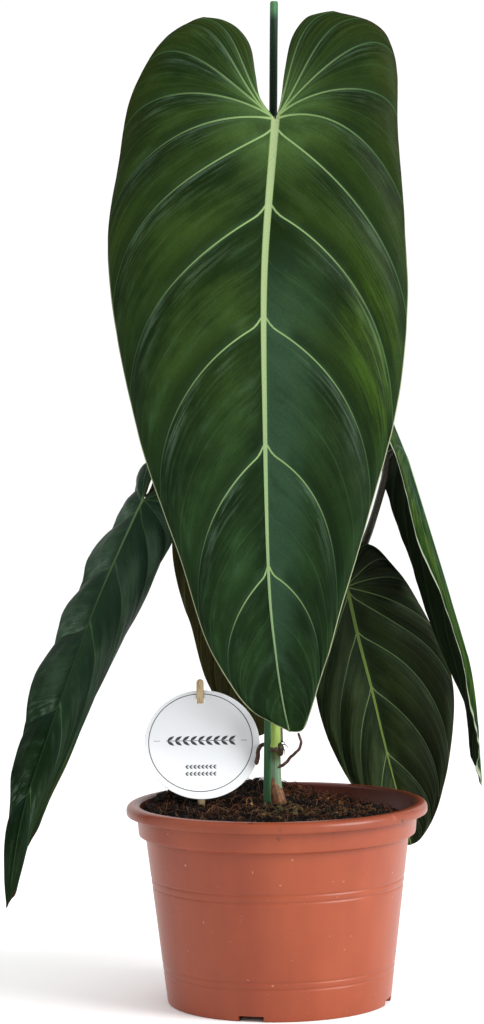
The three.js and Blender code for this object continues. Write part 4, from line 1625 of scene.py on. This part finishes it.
@dataclass
class Soil:
    """Potting mix: a lumpy bed with clods, bark crumbs and coir fibres on it.

    Attributes:
        sunk: What the bed loses for its lumps.
        crumble: Rise, size, seed and waves of each field of crumbs.
        heaps: The bed's large form; loose lies on it.
        clear: The x, y and radius of what stands in it: stake, stem and stick.
        patches: The x, y, size, kind and share of the patches of coir, bark and moss.
    """

    pot: Pot
    level: float = 121.5
    gap: float = 0.65
    rings: int = 84
    sides: int = 260
    lumps: int = 420
    sunk: float = 0.9
    clods: int = 260
    chips: int = 3600
    fibres: int = 4600
    seed: int = 5
    crumble: Sequence[tuple[float, float, int, int]] = (
        (0.7, 6, 41, 14), (0.6, 2.6, 42, 18), (0.4, 1.3, 43, 22),
    )
    heaps: Sequence[Heap] = (
        Heap(2.2, 0, 0, 2400, 2400), Heap(3.2, -66, 34, 700, 700), Heap(5.0, -12, 66, 1800, 700),
        Heap(-3.5, -47, 6, 260, 260),
    )
    loose: Sequence[Heap] = (
        Heap(3.6, -66, 36, 420, 420), Heap(2.6, -14, 66, 700, 500), Heap(1.8, 24, 44, 500, 500),
    )
    clear: Sequence[Triple] = ((-5.9, 5.0, 3.2), (0.8, -3.0, 5.2), (-46.9, 12.0, 3.4))
    patches: Sequence[tuple[float, float, float, float, float]] = (
        (24.0, 46.0, 20.0, 0.64, 0.9), (43.0, -27.0, 8.0, 0.8, 1.0), (4.0, -28.0, 15.0, 0.97, 0.45),
    )

    def edge(self, inset: float = 0.0) -> float:
        """The bed's radius at its top, less an inset."""
        return self.pot.inside(self.level - 8) - inset

    def height(self, x: Array, y: Array) -> Array:
        """The bed's height: heaped at the left and back, hollow at the stick and back right.

        Args:
            x: Places on the bed, in millimetres.
            y: The same.

        Returns:
            One height a place.
        """
        dip = 6.5 * smooth(12, 80, 0.88 * x + 0.47 * y)
        waves = 0.8 * np.sin(0.19 * x + 1.3 * np.sin(0.11 * y)) * np.cos(0.23 * y + np.sin(0.13 * x))
        return self.level + sum(heap.at(x, y) for heap in self.heaps) - dip + waves

    def rough(self, x: Array, y: Array) -> Array:
        """The height with lumps and crumbs of several sizes, calm round what stands in it.

        Args:
            x: Places on the bed, in millimetres.
            y: The same.

        Returns:
            One height a place.
        """
        rng = np.random.default_rng(self.seed + 2)
        extra = sum(heap.at(x, y) for heap in self.loose) - self.sunk
        for _ in range(self.lumps):
            r, a = self.edge() * math.sqrt(rng.random()), rng.random() * 2 * math.pi
            wide, tall = rng.uniform(1.4, 4.6), rng.uniform(0.5, 2.8)
            extra = extra + Heap(tall, r * math.cos(a), r * math.sin(a), wide**2, wide**2).at(x, y)
        for rise, size, seed, waves in self.crumble:
            extra = extra + rise * ripples(np.stack([x, y], 1), size, seed, waves)
        for cx, cy, radius in self.clear:
            reach = (radius + 3) ** 2
            extra = extra * (1 - Heap(0.8, cx, cy, reach, reach).at(x, y))
        return self.height(x, y) + extra

    def bed(self) -> MeshData:
        """The bed with its sides down to the pot's floor.

        Returns:
            The closed mesh, with the mark kind.
        """
        edge, rings, sides = self.edge(self.gap), self.rings, self.sides
        points, faces = [[0, 0, float(self.rough(np.zeros(1), np.zeros(1))[0])]], []
        angle = circle(sides)
        for i in range(1, rings + 1):
            r = edge * i / rings
            x, y = r * np.cos(angle), r * np.sin(angle)
            points += np.stack([x, y, self.rough(x, y) - 1.2 * (i / rings) ** 12], 1).tolist()
        floor = self.pot.underside + self.pot.floor + 0.3
        for z in (self.pot.bend[0] - 1.5, floor):
            r = self.pot.inside(z) - self.gap
            points += np.stack([r * np.cos(angle), r * np.sin(angle), np.full(sides, z)], 1).tolist()
        for k in range(sides):
            nxt = (k + 1) % sides
            faces.append([0, 1 + k, 1 + nxt])
            for i in range(rings + 1):
                a, b = 1 + i * sides, 1 + (i + 1) * sides
                faces.append([a + k, b + k, b + nxt, a + nxt])
        faces.append([1 + (rings + 1) * sides + k for k in range(sides)][::-1])
        whole = np.array(points)
        kind = 0.07 + 0.1 * ripples(whole[:, :2], 7, 61)
        return MeshData(whole, faces, {"kind": kind})

    def spots(self, rng: np.random.Generator, count: int, inset: float) -> Array:
        """Random places on the bed, clear of what stands in it.

        Args:
            rng: Draws the places.
            count: How many.
            inset: How far they stay in from the edge.

        Returns:
            Rows of x, y and height.
        """
        r, a = self.edge(inset) * np.sqrt(rng.random(count * 2)), rng.random(count * 2) * 2 * math.pi
        x, y = r * np.cos(a), r * np.sin(a)
        free = np.ones(len(x), bool)
        for cx, cy, radius in self.clear:
            free &= (x - cx) ** 2 + (y - cy) ** 2 > (radius + 1.5) ** 2
        x, y = x[free][:count], y[free][:count]
        return np.stack([x, y, self.rough(x, y)], 1)

    def kind(self, rng: np.random.Generator, x: float, y: float, usual: Sequence[float]) -> float:
        """Picks what a grain or fibre is made of, by where it lies.

        Args:
            rng: Draws the kind.
            x: Where it lies, with y.
            y: The same.
            usual: Kinds to pick from away from the patches.

        Returns:
            The mark kind.
        """
        for cx, cy, size, value, most in self.patches:
            if rng.random() < most * math.exp(-((x - cx) ** 2 + (y - cy) ** 2) / (size * size)):
                return value + rng.uniform(-0.06, 0.04)
        return float(rng.choice(usual)) + rng.uniform(-0.04, 0.04)

    def grains(self, count: int, fine: int, sizes: Pair, usual: Sequence[float],
               seed: int) -> MeshData:
        """Clods or crumbs scattered on the bed.

        Args:
            count: How many.
            fine: Subdivisions of each.
            sizes: Least and largest half width.
            usual: The kinds they are picked from.
            seed: Picks the places.

        Returns:
            The grains as one mesh.
        """
        rng = np.random.default_rng(seed)
        work = bmesh.new()
        bmesh.ops.create_icosphere(work, subdivisions=fine, radius=1.0)
        ball = np.array([v.co[:] for v in work.verts])
        ball_faces = np.array([[v.index for v in f.verts] for f in work.faces])
        work.free()
        points, faces, kinds = [], [], []
        for x, y, z in self.spots(rng, count, sizes[1] + 1):
            size = sizes[0] + (sizes[1] - sizes[0]) * rng.random() ** 2.5
            stretch = np.array([1.0, rng.uniform(0.5, 0.95), rng.uniform(0.35, 0.75)]) * size
            bumps = 1 + 0.22 * ripples(ball, 0.9, int(rng.integers(1 << 30)), 5)[:, None]
            shape = np.sign(ball) * np.abs(ball) ** 0.8 * bumps * stretch
            turn = Matrix.Rotation(rng.uniform(0, 6.28), 3, "Z")
            turn = turn @ Matrix.Rotation(rng.normal(0, 0.5), 3, "X")
            shape = shape @ np.array(turn @ Matrix.Rotation(rng.normal(0, 0.5), 3, "Y")).T
            faces.append(ball_faces + len(points) * len(ball))
            points.append(shape + [x, y, z + 0.1 * size])
            kinds.append(np.full(len(ball), self.kind(rng, x, y, usual)))
        return MeshData(np.vstack(points), np.vstack(faces).tolist(), {"kind": np.concatenate(kinds)})

    def strands(self) -> MeshData:
        """Coir fibres that lie on the bed, curl and stand out of it.

        Returns:
            The fibres as one mesh, with the mark kind.
        """
        rng = np.random.default_rng(self.seed + 1)
        steps, starts = 6, self.spots(rng, self.fibres, 3)
        lines, radii, kinds = [], [], []
        for x, y, _ in starts:
            length, heading = rng.gamma(3.0, 3.1) + 2, rng.uniform(0, 2 * math.pi)
            turns = heading + np.cumsum(rng.normal(0, 0.35, steps + 1))
            turns = turns + np.arange(steps + 1) * rng.normal(0, 0.3)
            step = np.stack([np.cos(turns), np.sin(turns)], 1) * (length / steps)
            flat = np.array([x, y]) + np.cumsum(step, axis=0)
            share = np.linspace(0, 1, steps + 1)
            high = rng.uniform(0.2, 1.6) if rng.random() < 0.66 else rng.uniform(1.5, 4.4)
            rise = high * (np.sin(math.pi * share) if rng.random() < 0.6 else share**1.3)
            lines.append(np.column_stack([flat, rise]))
            radii.append(rng.uniform(0.09, 0.24))
            kinds.append(self.kind(rng, x, y, (0.02, 0.06, 0.12, 0.2, 0.28, 0.44, 0.62, 0.78)))
        line = np.array(lines)
        flat = line.reshape(-1, 3)
        flat[:, 2] += self.rough(flat[:, 0], flat[:, 1]) + 0.1
        line = flat.reshape(line.shape)
        kept = np.max(np.hypot(line[..., 0], line[..., 1]), axis=1) < self.edge(1.2)
        line, radii, kinds = line[kept], np.array(radii)[kept], np.array(kinds)[kept]
        way = np.gradient(line, axis=1)
        side = np.cross(way, [0.2, 0.1, 1.0])
        side /= np.maximum(np.linalg.norm(side, axis=2), 1e-6)[..., None]
        above = np.cross(side, way)
        above /= np.maximum(np.linalg.norm(above, axis=2), 1e-6)[..., None]
        thin = radii[:, None, None] * (1 - 0.6 * np.linspace(0, 1, steps + 1) ** 2)[None, :, None]
        rings = [line + thin * (side * math.cos(a) + above * math.sin(a)) for a in (0.5, 2.6, 4.7)]
        points = np.stack(rings, axis=2).reshape(-1, 3)
        size = 3 * (steps + 1)
        one = bands(steps, 3)
        faces: list[Sequence[int]] = []
        for i in range(len(line)):
            faces += [[i * size + v for v in f] for f in one]
            first, last = i * size, i * size + 3 * steps
            faces += [[first + 2, first + 1, first], [last + j for j in range(3)]]
        return MeshData(points, faces, {"kind": np.repeat(kinds, size)})

    def build(self, material: Material) -> None:
        """Makes the bed with its clods, then the crumbs and the fibres.

        Args:
            material: The finish of all three.
        """
        clods = self.grains(self.clods, 2, (0.9, 3.2), (0.05, 0.12, 0.2, 0.28), self.seed)
        self.bed().joined(clods).piece("potting_mix", material, "potting_mix", "soil")
        usual = (0.0, 0.05, 0.08, 0.12, 0.2, 0.36)
        crumbs = self.grains(self.chips, 1, (0.4, 1.9), usual, self.seed + 9)
        crumbs.piece("bark_crumbs", material, "potting_mix", crisp=35)
        self.strands().piece("coir_fibres", material, "potting_mix")


@dataclass
class Stake:
    """The coated stake."""

    foot: Sequence[float] = (-7.9, 5, 30)
    top: Sequence[float] = (5.1, 5, 628.5)
    radius: float = 2.6
    steps: int = 600
    sides: int = 32

    def build(self, material: Material) -> None:
        """Makes the stake with rounded ends.

        Args:
            material: Its finish.
        """
        foot, top = np.array(self.foot, float), np.array(self.top, float)
        route = Curve([foot, foot * 0.5 + top * 0.5, top])
        length = float(np.linalg.norm(top - foot))

        def radius(share: Array) -> Array:
            """Rounds the ends over half a millimetre."""
            inset = np.minimum(share, 1 - share) * length
            return self.radius - 0.5 * (1 - np.sqrt(np.clip(inset / 0.6, 0, 1)))

        def shape(share: Array, turn: Array) -> Array:
            """The drawn coating's slow waviness."""
            return 0.05 * np.sin(3 * turn + 40 * share) - 0.05

        rod = tube(route, radius, self.steps, self.sides, shape)
        rod.piece("coated_stake", material, "stake_coating", "stake")


@dataclass
class Stem:
    """The climbing stem with its scars, sheath and aerial roots.

    Attributes:
        nodes: Heights where leaves leave the stem and it swells.
        sheath: Height, swell and spread of the wrapped foot.
        scar: Height, half depth and lift of the ragged scar.
        bract_lean: The papery wrap's x at its foot, and how far that moves to the top.
        roots: Radius at the stem and the tip of each aerial root, and its course.
    """

    path: Rows = ((1, -3, 88), (0.8, -3, 112), (0.2, -3, 133), (-0.2, -3, 150), (-0.2, -3, 170),
                  (0.4, -3, 205), (1.6, -3, 240), (2.8, -3, 266))
    radius: float = 3.1
    nodes: Sequence[float] = (160, 179, 198, 218, 238)
    swell: float = 0.8
    spread: float = 2.4
    sheath: Triple = (127, 1.2, 8)
    scar: Triple = (159.6, 1.5, 0.25)
    bract_levels: Pair = (119.0, 144.0)
    bract_size: Pair = (4.5, 4.1)
    bract_lean: Pair = (2.1, -4.6)
    bract_y: float = -4.2
    stub_radius: float = 1.9
    rootlet_radius: float = 0.42
    stub: Rows = ((2.2, -4.8, 164.0), (3.0, -5.4, 160.0), (2.7, -5.2, 155.5))
    rootlets: Sequence[Rows] = (
        ((3.2, -6.0, 162.2), (4.8, -7.0, 163.2), (6.4, -7.6, 162.4), (7.6, -8.2, 161.0)),
        ((3.2, -6.0, 161.2), (4.6, -7.4, 160.6), (5.4, -8.4, 158.6), (5.3, -9.0, 156.8)),
        ((2.6, -6.4, 163.4), (3.6, -7.8, 165.2), (4.6, -8.8, 165.0), (5.8, -9.4, 163.6)),
    )
    roots: Sequence[tuple[Pair, Rows]] = (
        ((1.1, 0.8), ((0, -4.5, 148), (5, -6, 150.5), (9, -8, 155), (14.3, -10, 160.4), (15.6, -11, 165),
                      (13.8, -12, 171))),
        ((1.0, 1.5), ((0.4, -1, 156.5), (1.4, 3.4, 157), (1, 8.4, 158.4), (-3, 11.2, 160.4),
                      (-8, 10.8, 161), (-10.8, 8, 158.6), (-11.6, 5.6, 154.4), (-12.6, 3.4, 149))),
    )

    def width(self, z: Array) -> Array:
        """The stem's radius at heights.

        Args:
            z: Heights in millimetres.

        Returns:
            One radius a height.
        """
        swells = [self.swell * np.exp(-(((z - n) / self.spread) ** 2)) for n in self.nodes]
        level, swell, spread = self.sheath
        return self.radius + np.max(swells, axis=0) + swell * np.exp(-(((z - level) / spread) ** 2))

    def build(self, green: Material, bark: Material, scar: Material, root: Material) -> None:
        """Makes the stem and what grows on it.

        Args:
            green: Finish of the living stem.
            bark: Finish of the papery sheath.
            scar: Finish of the scar, its stub and rootlets.
            root: Finish of the aerial roots.
        """
        route = Curve(self.path)

        def radius(share: Array) -> Array:
            """The stem's own radius less a little for its coat of dry tissue."""
            return self.width(route.at(share)[:, 2]) - 0.1

        def ribs(share: Array, turn: Array) -> Array:
            """Lengthwise ribs."""
            return 0.1 * np.cos(7 * turn) + 0.05 * np.sin(60 * share + 2 * turn)

        tube(route, radius, 320, 36, ribs).piece("green_stem", green, "stem", "stem")
        self.collar(route).piece("leaf_scar", scar, "stem")
        self.bract().piece("papery_bract", bark, "stem")
        for index, path in enumerate(self.rootlets):
            self.rootlet(path).piece(f"rootlet_{index + 1}", scar, "stem")
        self.bud().piece("bud_stub", scar, "stem")
        for index, (sizes, path) in enumerate(self.roots):
            self.aerial_root(sizes, path).piece(f"aerial_root_{index + 1}", root, "stem")

    def rootlet(self, path: Rows) -> MeshData:
        """A short hair root.

        Args:
            path: Its course.

        Returns:
            The closed tube.
        """
        def thin(share: Array) -> Array:
            """Tapers to the tip."""
            return self.rootlet_radius * (1 - 0.6 * share)

        return tube(Curve(path), thin, 14, 8)

    def bud(self) -> MeshData:
        """The dry stub of a bud.

        Returns:
            The closed tube.
        """
        def dome(share: Array) -> Array:
            """Rounds both ends."""
            return self.stub_radius * np.sqrt(np.clip(1.02 - (2 * share - 1) ** 2, 0.02, 1))

        def dents(share: Array, turn: Array) -> Array:
            """Makes it uneven."""
            return 0.22 * np.sin(3 * turn + 9 * share)

        return tube(Curve(self.stub), dome, 24, 14, dents)

    def aerial_root(self, sizes: Pair, path: Rows) -> MeshData:
        """A root in the air.

        Args:
            sizes: Its radius at the stem and at the tip.
            path: Its course.

        Returns:
            The closed tube.
        """
        first, last = sizes

        def taper(share: Array) -> Array:
            """Tapers, with a rounded tip."""
            return (first + (last - first) * share) * np.sqrt(np.clip((1 - share) / 0.04, 0.05, 1))

        def knobs(share: Array, turn: Array) -> Array:
            """Small bumps."""
            return 0.1 * np.sin(37 * share + turn) + 0.06 * np.sin(3 * turn + 19 * share)

        return tube(Curve(path), taper, 80, 14, knobs)

    def bract(self) -> MeshData:
        """The papery teardrop that wraps the stem's foot.

        Returns:
            The closed wrap.
        """
        rows, sides = 40, 36
        (low, high), (wide, deep), (foot, shift) = self.bract_levels, self.bract_size, self.bract_lean
        angle = circle(sides)
        points = []
        for share in np.linspace(0, 1, rows + 1):
            fat = math.sin(math.pi * min(1, 0.24 + 0.76 * share ** 0.9)) ** 0.9 + 0.03
            pleat = 1 + 0.05 * np.cos(9 * angle + 3 * share)
            x = foot + shift * share ** 1.5 + wide * fat * pleat * np.cos(angle)
            y = self.bract_y + deep * fat * pleat * np.sin(angle)
            points.append(np.stack([x, y, np.full(sides, low + (high - low) * share)], 1))
        faces = bands(rows, sides)
        faces += [list(range(sides))[::-1], [rows * sides + k for k in range(sides)]]
        return MeshData(np.vstack(points), faces)

    def collar(self, route: Curve) -> MeshData:
        """The ragged ring of dry tissue round the stem.

        Args:
            route: The stem's axis.

        Returns:
            The closed ring.
        """
        sides, steps = 64, 12
        level, depth, lift = self.scar
        angle = circle(sides)
        jag = 0.35 * np.sin(5 * angle + level) + 0.25 * np.sin(11 * angle) + 0.2 * np.sin(17 * angle + 1)
        share = np.interp(level, route.at(np.linspace(0, 1, 200))[:, 2], np.linspace(0, 1, 200))
        axis = route.at(share)[0]
        rows = []
        for t in circle(steps):
            z = level + depth * np.sin(t) * (1 + 0.5 * jag)
            r = self.width(z) + lift * (0.5 + 0.5 * math.cos(t)) * (1 + 0.5 * jag) - 0.12
            rows.append(np.stack([axis[0] + r * np.cos(angle), axis[1] + r * np.sin(angle), z], 1))
        return MeshData(np.vstack(rows), bands(steps, sides, closed=True))


@dataclass
class Tag:
    """The round card on its wooden stick.

    Attributes:
        above: How far the stick reaches up from the slot; below is how far down.
        play: Room round the stick in the slot.
        ring: The printed ring's middle on the card, radius and width.
        dash: A dash's distance from the ring's middle, its y, half width and half height.
        sprigs: For each sprig, its y, width, pairs of leaves and leaf length.
        leaflet: How wide a printed leaf is at shares of its length.
    """

    radius: float = 36.7
    thickness: float = 0.9
    lean: float = 27.0
    centre: Sequence[float] = (-46.9, 14, 161.2)
    slot: Pair = (-0.9, 29.3)
    stick_width: float = 4.7
    stick_thickness: float = 1.2
    stick_lean: float = 11.0
    above: float = 14.2
    below: float = 118.0
    play: float = 0.3
    ink: float = 0.05
    ring: tuple[float, float, float, float] = (-0.9, 1.2, 33.2, 0.55)
    dash: tuple[float, float, float, float] = (27.6, 2.4, 1.9, 0.14)
    sprigs: Sequence[tuple[float, float, int, float]] = (
        (2.4, 44.0, 9, 4.4), (-15.2, 20.0, 8, 2.0), (-19.9, 20.0, 8, 2.0),
    )
    leaflet: Sequence[Pair] = (
        (0, 0), (0.12, 0.11), (0.3, 0.2), (0.5, 0.22), (0.75, 0.14), (0.9, 0.06), (1, 0),
    )

    def axes(self, degrees: float) -> Matrix:
        """Across, up the face and out of the face as a rotation."""
        c, s = math.cos(math.radians(degrees)), math.sin(math.radians(degrees))
        return Matrix(((1, 0, 0), (0, s, -c), (0, c, s))).to_4x4()

    def slot_centre(self) -> Vector:
        """The middle of the slot."""
        return Vector(self.centre) + self.axes(self.lean) @ Vector((*self.slot, 0))

    def on_card(self, x: float, y: float, out: float) -> list[float]:
        """A point on the card by its own axes."""
        return list(Vector(self.centre) + self.axes(self.lean) @ Vector((x, y, out)))

    def disc(self, material: Material) -> None:
        """Makes the card with softly rounded edges and its slot.

        Args:
            material: Its finish.
        """
        half, soft = self.thickness / 2, 0.2
        profile = [[0, -half], [self.radius - soft, -half], [self.radius, -half + soft],
                   [self.radius, half - soft], [self.radius - soft, half], [0, half]]
        data = lathe(profile, 160)
        turn = np.array((Matrix.Translation(self.centre) @ self.axes(self.lean)).to_3x3())
        data.points = data.points @ turn.T + np.array(self.centre)
        card = data.piece("round_card", material, "tag_card", "tag", crisp=20)
        room = (self.stick_width + 2 * self.play, 2 * (self.above + self.play),
                self.stick_thickness + 2 * self.play)
        cutter = block(room, Matrix.Translation(self.slot_centre()) @ self.axes(self.stick_lean))
        cut(card, [cutter], crisp=20)

    def printed(self, material: Material) -> None:
        """Makes the ring, dashes and sprigs as thin ink on the card.

        Args:
            material: The ink.
        """
        out = self.thickness / 2 + self.ink
        points: list[list[float]] = []
        faces: list[Sequence[int]] = []

        def shape(outline: Sequence[Pair]) -> None:
            """Adds a filled outline.

            Args:
                outline: Points on the card.
            """
            faces.append([len(points) + k for k in range(len(outline))])
            points.extend(self.on_card(x, y, out) for x, y in outline)

        cx, cy, outer, width = self.ring
        turns = circle(160)
        for r in (outer, outer - width):
            points.extend(self.on_card(cx + r * math.cos(a), cy + r * math.sin(a), out) for a in turns)
        faces.extend(bands(1, len(turns)))
        away, level, wide, tall = self.dash
        for side in (-1, 1):
            x = cx + side * away
            shape([(x - wide, level - tall), (x + wide, level - tall), (x + wide, level + tall),
                   (x - wide, level + tall)])
        for level, width, pairs, size in self.sprigs:
            self.sprig(shape, (cx, level), width, pairs, size)
        MeshData(np.array(points), faces).piece("card_print", material, "tag_card")

    def sprig(self, shape: Callable[[Sequence[Pair]], None], centre: Pair, width: float, pairs: int,
              size: float) -> None:
        """Draws a level sprig of paired leaves.

        Args:
            shape: Adds a filled outline.
            centre: The sprig's middle on the card.
            width: Its whole width.
            pairs: How many pairs of leaves.
            size: A leaf's length.
        """
        cx, cy = centre
        left, right, thin = cx - width / 2, cx + width / 2, 0.09 * size ** 0.5
        shape([(left, cy - thin), (right, cy - thin), (right, cy + thin), (left, cy + thin)])
        half = [(0.1 * size + share * size * 1.2, wide * size) for share, wide in self.leaflet]
        leaf = half + [(a, -b) for a, b in half[-2:0:-1]]
        for i in range(pairs):
            x = left + width * (i + 0.12) / pairs
            for side in (-1, 1):
                c, s = math.cos(math.radians(34 * side)), math.sin(math.radians(34 * side))
                shape([(x + a * c - b * s, cy + a * s + b * c) for a, b in leaf])

    def stick(self, material: Material) -> None:
        """Makes the flat stick with its round top and eased edges.

        Args:
            material: Its finish.
        """
        half, thick, soft = self.stick_width / 2, self.stick_thickness / 2, 0.18
        place = Matrix.Translation(self.slot_centre()) @ self.axes(self.stick_lean)
        round_top = self.above - half
        arc = [(half * math.cos(a), round_top + half * math.sin(a)) for a in np.linspace(0, math.pi, 25)]
        down = np.linspace(round_top - 3, -self.below, 40)
        outline = arc + [(-half, y) for y in down] + [(half, y) for y in down[::-1]]
        rows = []
        for inset, depth in ((soft, -thick), (0, -thick + soft), (0, thick - soft), (soft, thick)):
            narrow = (half - inset) / half
            rows += [list(place @ Vector((x * narrow, y - inset * (y > 0) + inset * (y < -100), depth)))
                     for x, y in outline]
        n = len(outline)
        faces: list[Sequence[int]] = [list(range(n))[::-1], [3 * n + k for k in range(n)], *bands(3, n)]
        data = MeshData(np.array(rows), faces)
        data.piece("wood_stick", material, "stick_wood", "tag_stick", crisp=50)

    def build(self, card: Material, ink: Material, wood: Material) -> None:
        """Makes the card, its print and its stick.

        Args:
            card: The card's finish.
            ink: The print's.
            wood: The stick's.
        """
        self.disc(card)
        self.printed(ink)
        self.stick(wood)


# Studio


@dataclass
class Studio:
    """Floor, soft light and the camera at the photograph's angle.

    Attributes:
        distance: How far the camera stands off in millimetres; pitch is in radians.
        key: Power of the soft light in watts; its place, target and size are in metres.
    """

    distance: float = 2000.0
    camera_x: float = -19.4
    camera_z: float = 410.5
    pitch: float = 0.0505
    roll: float = 0.014
    sensor: float = 36.0
    lens: float = 3185.3 * 36 / 1024
    sky: float = 1.05
    key: float = 90.0
    key_place: Triple = (2.1, -1.15, 1.3)
    key_target: Triple = (0, 0, 0.25)
    key_size: float = 1.7
    floor_radius: float = 40.0

    def floor(self, material: Material) -> None:
        """Lays a large pale floor under the foot ring.

        Args:
            material: Its finish.
        """
        mesh = bpy.data.meshes.new("floor")
        work = bmesh.new()
        bmesh.ops.create_circle(work, cap_ends=True, segments=96, radius=self.floor_radius)
        work.to_mesh(mesh)
        work.free()
        mesh.materials.append(material)
        floor = linked("floor", mesh)

    def panel(self, name: str, place: Sequence[float], target: Sequence[float], size: float,
              power: float) -> None:
        """Hangs a soft light.

        Args:
            name: The light's name.
            place: Where it hangs, in metres.
            target: What it points at, in metres.
            size: Its width in metres.
            power: Its power in watts.
        """
        light = bpy.data.lights.new(name, "AREA")
        light.shape, light.size, light.energy = "DISK", size, power
        obj = linked(name, light)
        obj.location = place
        obj.rotation_euler = (Vector(target) - Vector(place)).to_track_quat("-Z", "Y").to_euler()

    def camera(self) -> None:
        """Sets the camera where the photograph was taken from."""
        data = bpy.data.cameras.new("camera")
        data.lens, data.sensor_width, data.clip_end = self.lens, self.sensor, 200.0
        camera = linked("camera", data)
        c, s = math.cos(self.pitch), math.sin(self.pitch)
        cr, sr = math.cos(self.roll), math.sin(self.roll)
        ahead, above, side = Vector((0, c, -s)), Vector((0, s, c)), Vector((1, 0, 0))
        right, up = side * cr - above * sr, side * sr + above * cr
        place = Matrix.Translation(Vector((self.camera_x, -self.distance, self.camera_z)) * MM)
        camera.matrix_world = place @ Matrix((right, up, -ahead)).transposed().to_4x4()
        bpy.context.scene.camera = camera

    def build(self, floor: Material) -> None:
        """Sets floor, lights, camera and the plain colour transform.

        Args:
            floor: The floor's finish.
        """
        self.floor(floor)
        self.camera()
        world = bpy.data.worlds.new("studio")
        world.use_nodes = True
        background = world.node_tree.nodes["Background"]
        background.inputs["Color"].default_value = (1, 1, 1, 1)
        background.inputs["Strength"].default_value = self.sky
        bpy.context.scene.world = world
        self.panel("key", self.key_place, self.key_target, self.key_size, self.key)
        bpy.context.scene.view_settings.view_transform = "Standard"


def leaf_skins() -> dict[str, LeafFinish]:
    """The finish of each blade.

    Returns:
        The finishes by the leaves' names.
    """
    quiet = LeafFinish(vein=(0.06, 0.105, 0.04), vein_far=(0.02, 0.045, 0.018), minor_share=0.06,
                       sheen_streak_share=0.25, rib_sheen_share=0.0, glow_share=0.0, right_dim=0.0)
    dim = ((0.008, 0.014, 0.0046), (0.025, 0.039, 0.0135))
    return {
        "front": LeafFinish(),
        "left": replace(
            quiet, warm_from=(0.13, 0.28), olive_phase=(3.5, 8.0), olive_reach=(0.55, 1.0),
            olive=(0.034, 0.042, 0.003), vein_share=0.45, edge_from=(0.0, 0.01), lit_above=True,
            cool=((0.0033, 0.0098, 0.003), (0.009, 0.0195, 0.0072)),
            warm=((0.012, 0.029, 0.0145), (0.034, 0.062, 0.037)),
            shade=(0.0055, 0.015, 0.008), shade_share=0.9, glint=(0.07, 0.112, 0.076),
            glint_share=0.7, glint_from=(0.03, 0.12), glint_above=(-0.1, 0.0), brown_share=0.0,
            rib=((0.15, (0.006, 0.017, 0.006)), (0.23, (0.011, 0.028, 0.011)),
                 (0.33, (0.14, 0.215, 0.1))),
            specular=0.015, sheen=0.005),
        "right": replace(
            quiet, warm_from=(0.1, 0.3), olive_phase=(1.0, 8.0), vein_share=0.5,
            warm=((0.0035, 0.0155, 0.0032), (0.0125, 0.04, 0.0085)),
            olive=(0.038, 0.064, 0.003), olive_side=-1.0, under=(0.0095, 0.0165, 0.007),
            under_vein=(0.03, 0.042, 0.022), brown_share=0.0,
            rib=((0.24, (0.07, 0.12, 0.05)), (0.5, (0.14, 0.2, 0.08))),
            edge=((0.3, 0.33, 0.24), (0.3, 0.33, 0.24)), specular=0.005, sheen=0.0),
        "low_right": replace(
            quiet, right_dim=0.62, sheen_streak_share=0.08, vein=(0.13, 0.175, 0.065),
            vein_far=(0.06, 0.082, 0.036), vein_share=0.9, glint_share=0.22, cool=dim, warm=dim,
            olive=(0.012, 0.02, 0.002), olive_phase=(3.0, 8.0), olive_reach=(0.0, 0.8),
            rib=((0.0, (0.095, 0.145, 0.022)), (0.3, (0.105, 0.16, 0.04))),
            glint=(0.07, 0.095, 0.05), glint_above=(-0.1, 0.0), shade=(0.004, 0.007, 0.002),
            brown_share=0.0, edge_from=(0.0, 0.01)),
        "back": replace(quiet, vein_share=0.5),
    }


def main() -> None:
    """Builds every sub-assembly in order and notes the size of the result."""
    logging.basicConfig(level=logging.INFO, format="%(message)s")
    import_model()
    pot = Pot()
    pot.build(PotFinish().material("terracotta_plastic"))
    Soil(pot).build(MixFinish().material("potting_mix"))
    Stake().build(CoatingFinish().material("green_coating"))
    green = StalkFinish(level=(0.152, 0.16), node_from=(0.15, 0.163),
                        low_light=(0.18, 0.29, 0.175), low_dark=(0.055, 0.115, 0.058))
    scar = BarkFinish(light=(0.06, 0.04, 0.017), dark=(0.013, 0.01, 0.005))
    root = BarkFinish(light=(0.12, 0.06, 0.042), dark=(0.04, 0.018, 0.013))
    Stem().build(green.material("green_stem"), BarkFinish().material("dry_tissue"),
                 scar.material("scar_tissue"), root.material("root_skin"))
    Tag().build(CardFinish().material("white_card"), InkFinish().material("grey_ink"),
                WoodFinish().material("birch"))
    stalk = StalkFinish(light=(0.042, 0.038, 0.014), dark=(0.014, 0.012, 0.006)).material("petiole_skin")
    skins = leaf_skins()
    for leaf in all_leaves():
        leaf.build(skins[leaf.name].material(f"leaf_skin_{leaf.name}"), stalk)
    Studio().build(FloorFinish().material("pale_floor"))


if __name__ == "__main__":
    main()
